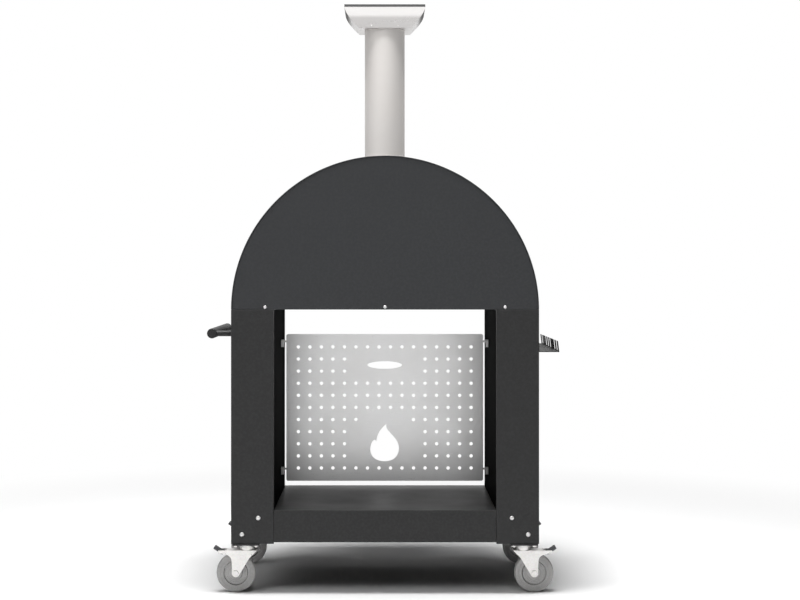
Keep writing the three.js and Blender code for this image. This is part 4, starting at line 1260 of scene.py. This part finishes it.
def platePiece(top):
    x, y = caster["plateHalfX"], caster["plateHalfY"]
    plate = block((-x, -y, top - caster["plateSheet"]), (x, y, top))
    spots = plate.data.vertices
    pick(plate, "EDGE", lambda edge: abs(spots[edge.vertices[0]].co.z - spots[edge.vertices[1]].co.z) > mm)
    bpy.ops.mesh.bevel(offset=6 * mm, segments=5)
    objectMode()
    roundEdges(plate, 0.7 * mm, 2)
    return plate


def bearingPiece(top):
    low = top - caster["plateSheet"]
    foot = caster["forkTop"]
    race = [(r, low + h) for r, h in inMm(
        (0, 0.5), (28.4, 0.5), (28.8, -1), (28.2, -4), (26.5, -7), (23.6, -10))]
    neck = [(r, foot + h) for r, h in inMm((22.8, 2.5), (22, 0.6), (0, 0.6))]
    head = turned(race + neck, (0, 0, 0), (0, 0, 1), 72)
    bolts = []
    profile = inMm((0, 0), (8, 0), (8, 1.4), (5.8, 1.5), (6, 5), (5, 6), (0, 6))
    for x in (-caster["boltX"], caster["boltX"]):
        for y in (-caster["boltY"], caster["boltY"]):
            bolts.append(turned(profile, (x, y, low + 0.2 * mm), (0, 0, -1), 18))
    return joined(head, *bolts)


def pedalPiece():
    u, z, half = 80 * mm, caster["forkTop"] - 8 * mm, caster["forkInner"] - 2 * mm

    def at(*spots):
        return [(u + x, z + up) for x, up in inMm(*spots)]

    corners = arc(at((-2, 0))[0], 5 * mm, 90, 270, 8)
    corners += bend(*at((-2, -5), (5, -5), (8, 1.5), (11.5, 4)), 8)
    corners += arc(at((23.6, 14.2))[0], 2.6 * mm, -50, 60, 6)
    corners += arc(at((21.9, 17))[0], 2.4 * mm, 40, 130, 6)
    corners += bend(*at((20.4, 18.9), (12, 13.5), (9, 11.5), (6, 9)), 6)
    pedal = cutSheet([corners], -half, half)
    roundEdges(pedal, 0.9 * mm, 3)
    ribs = []
    for k in range(4):
        t = 0.15 + 0.22 * k
        x, up = at((8.5 + 11 * t, 10.9 + 7.0 * t))[0]
        start = Vector((x, -half + 2 * mm, up))
        ribs.append(rod(start, start + Vector((0, 2 * half - 4 * mm, 0)), 0.8 * mm, 10))
    return joined(pedal, *ribs)


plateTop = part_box("rear_right_caster_plate")[1].z
# The caster plate takes the dark charcoal paint in place of zinc: painted shade, for the shade under the
# leg.
masters = [
    ("caster_plate", platePiece(plateTop), charcoal, "zinc", "caster_plate", True),
    ("bearing_head", bearingPiece(plateTop), casterZinc, "zinc", "caster_plate", False),
    ("caster_fork", forkPiece(), casterZinc, "zinc", "caster_fork", True),
    ("wheel_tyre", tyrePiece(), greyRubber, "wheel_rubber", "wheel", True),
    ("wheel_hub", hubPiece(), hubPlastic, "wheel_rubber", "wheel", False),
    ("brake_pedal", pedalPiece(), pedalPlastic, "pedal_plastic", "brake_pedal", True),
]
for end in ("rear", "front"):
    for side, sign in (("right", 1), ("left", -1)):
        corner = end + "_" + side
        low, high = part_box(corner + "_caster_plate")
        for name, master, material, slotName, node, stands in masters:
            twin = copyOf(master)
            twin.location = ((low.x + high.x) / 2, (low.y + high.y) / 2, 0)
            twin.rotation_euler = (0, 0, 0 if sign > 0 else math.pi)
            finishPiece(twin, corner + "_" + name, material, bodyOf[corner + "_" + node],
                        [corner + "_" + node] if stands else [])
for master in masters:
    bpy.data.objects.remove(master[1])

print("casters ready")

# Floor, light and camera.

studio = {
    "floorShade": 0.93, "fadeFrom": 1.3, "fadeTo": 3.0, "ambient": 0.03,
    "glossLeft": 0.62, "glossRight": 0.56, "glossHigh": 0.4, "glossBehind": 1.0, "glossAhead": 0.58,
}

# Each soft box's place, the point it faces, its two sides and its power.
softBoxes = {
    "overheadBox": ((0.1, 0.5, 4.8), (0.1, 0.3, 0), (2.4, 1.7), 320),
    "leftBox": ((3.0, 2.6, 3.4), (0, 0, 0.9), (2.4, 2.4), 34),
    "fillBox": ((0.6, 4.1, 5.4), (0, 0, 0.9), (4.2, 2.0), 58),
    "frontBox": ((0.8, -3.5, 5.0), (0, 0, 0.9), (3.0, 2.0), 12),
}


def studioFloor():
    bpy.ops.mesh.primitive_plane_add(size=30, location=(0, 0, 0))
    floor = bpy.context.object
    bpy.ops.object.mode_set(mode="EDIT")
    bpy.ops.mesh.subdivide(number_cuts=6)
    objectMode()
    floor.name = "studioFloor"
    material, tree, shader = newMaterial("paleFloor", 0.9, 0.0, 0.1)
    fine = place(tree, grain, Stretch=(3, 3, 3), Detail=3.0, Contrast=0.6)
    shade = studio["floorShade"]
    colourTo(tree, shader, blendColours(tree, fine, (shade * 0.985,) * 3, (shade,) * 3))
    place3d = add(tree, "TexCoord")
    length = add(tree, "VectorMath", operation="LENGTH")
    link(tree, place3d.outputs["Object"], length.inputs[0])
    fade = spread(tree, length.outputs["Value"], studio["fadeFrom"], studio["fadeTo"], 0.0, 1.0, True)
    white = add(tree, "Emission", {"Color": (1, 1, 1, 1), "Strength": 1.0})
    mixed = add(tree, "MixShader")
    link(tree, fade, mixed.inputs[0])
    link(tree, shader.outputs[0], mixed.inputs[1])
    link(tree, white.outputs[0], mixed.inputs[2])
    link(tree, mixed.outputs[0], tree.nodes["Material Output"].inputs["Surface"])
    floor.data.materials.append(material)


def softBox(name, location, target, size, power):
    lamp = bpy.data.lights.new(name, "AREA")
    lamp.shape = "RECTANGLE"
    lamp.size, lamp.size_y = size
    lamp.energy = power
    obj = bpy.data.objects.new(name, lamp)
    bpy.context.scene.collection.objects.link(obj)
    obj.location = location
    obj.rotation_euler = (Vector(target) - Vector(location)).to_track_quat("-Z", "Y").to_euler()
    obj.visible_camera = False


# White to the eye, dim for diffuse light, and a soft left-to-right ramp in reflections.
def studioWorld():
    world = bpy.data.worlds.new("studioWorld")
    bpy.context.scene.world = world
    world.use_nodes = True
    tree = world.node_tree
    rays = tree.nodes.new("ShaderNodeLightPath")
    back = tree.nodes["Background"]
    back.inputs["Color"].default_value = (1, 1, 1, 1)
    heading = add(tree, "TexCoord")
    apart = add(tree, "SeparateXYZ")
    link(tree, heading.outputs["Generated"], apart.inputs[0])
    sideways = spread(tree, apart.outputs["X"], -1.0, 1.0, studio["glossRight"], studio["glossLeft"])
    upward = spread(tree, apart.outputs["Z"], 0.0, 0.5, 1.0, studio["glossHigh"])
    behind = spread(tree, apart.outputs["Y"], -1.0, -0.6, studio["glossBehind"], 0.0)
    ahead = math2(tree, "MULTIPLY", spread(tree, apart.outputs["Y"], 0.6, 1.0, 0.0, studio["glossAhead"]),
                  spread(tree, apart.outputs["Z"], 0.08, 0.4, 1.0, 0.0))
    around = math2(tree, "ADD", math2(tree, "MULTIPLY", sideways, upward), ahead)
    gloss = math2(tree, "MAXIMUM", around, behind)
    extra = math2(tree, "SUBTRACT", gloss, studio["ambient"])
    lit = math2(tree, "MULTIPLY", rays.outputs["Is Glossy Ray"], extra)
    seen = math2(tree, "MULTIPLY", rays.outputs["Is Camera Ray"], 1.0 - studio["ambient"])
    total = math2(tree, "ADD", math2(tree, "ADD", lit, seen), studio["ambient"])
    link(tree, total, back.inputs["Strength"])


studioFloor()
studioWorld()
for name, (location, target, size, power) in softBoxes.items():
    softBox(name, location, target, size, power)

shot = {"place": (0.0097, 5.165, 1.031), "lens": 67.5, "shift": (0.0225, -0.037)}
cameraData = bpy.data.cameras.new("studioCamera")
cameraData.lens = shot["lens"]
cameraData.sensor_width = 36
cameraData.shift_x, cameraData.shift_y = shot["shift"]
camera = bpy.data.objects.new("studioCamera", cameraData)
bpy.context.scene.collection.objects.link(camera)
camera.location = shot["place"]
camera.rotation_euler = (math.pi / 2, 0, math.pi)
bpy.context.scene.camera = camera
bpy.context.scene.view_settings.view_transform = "Standard"

print("scene ready")
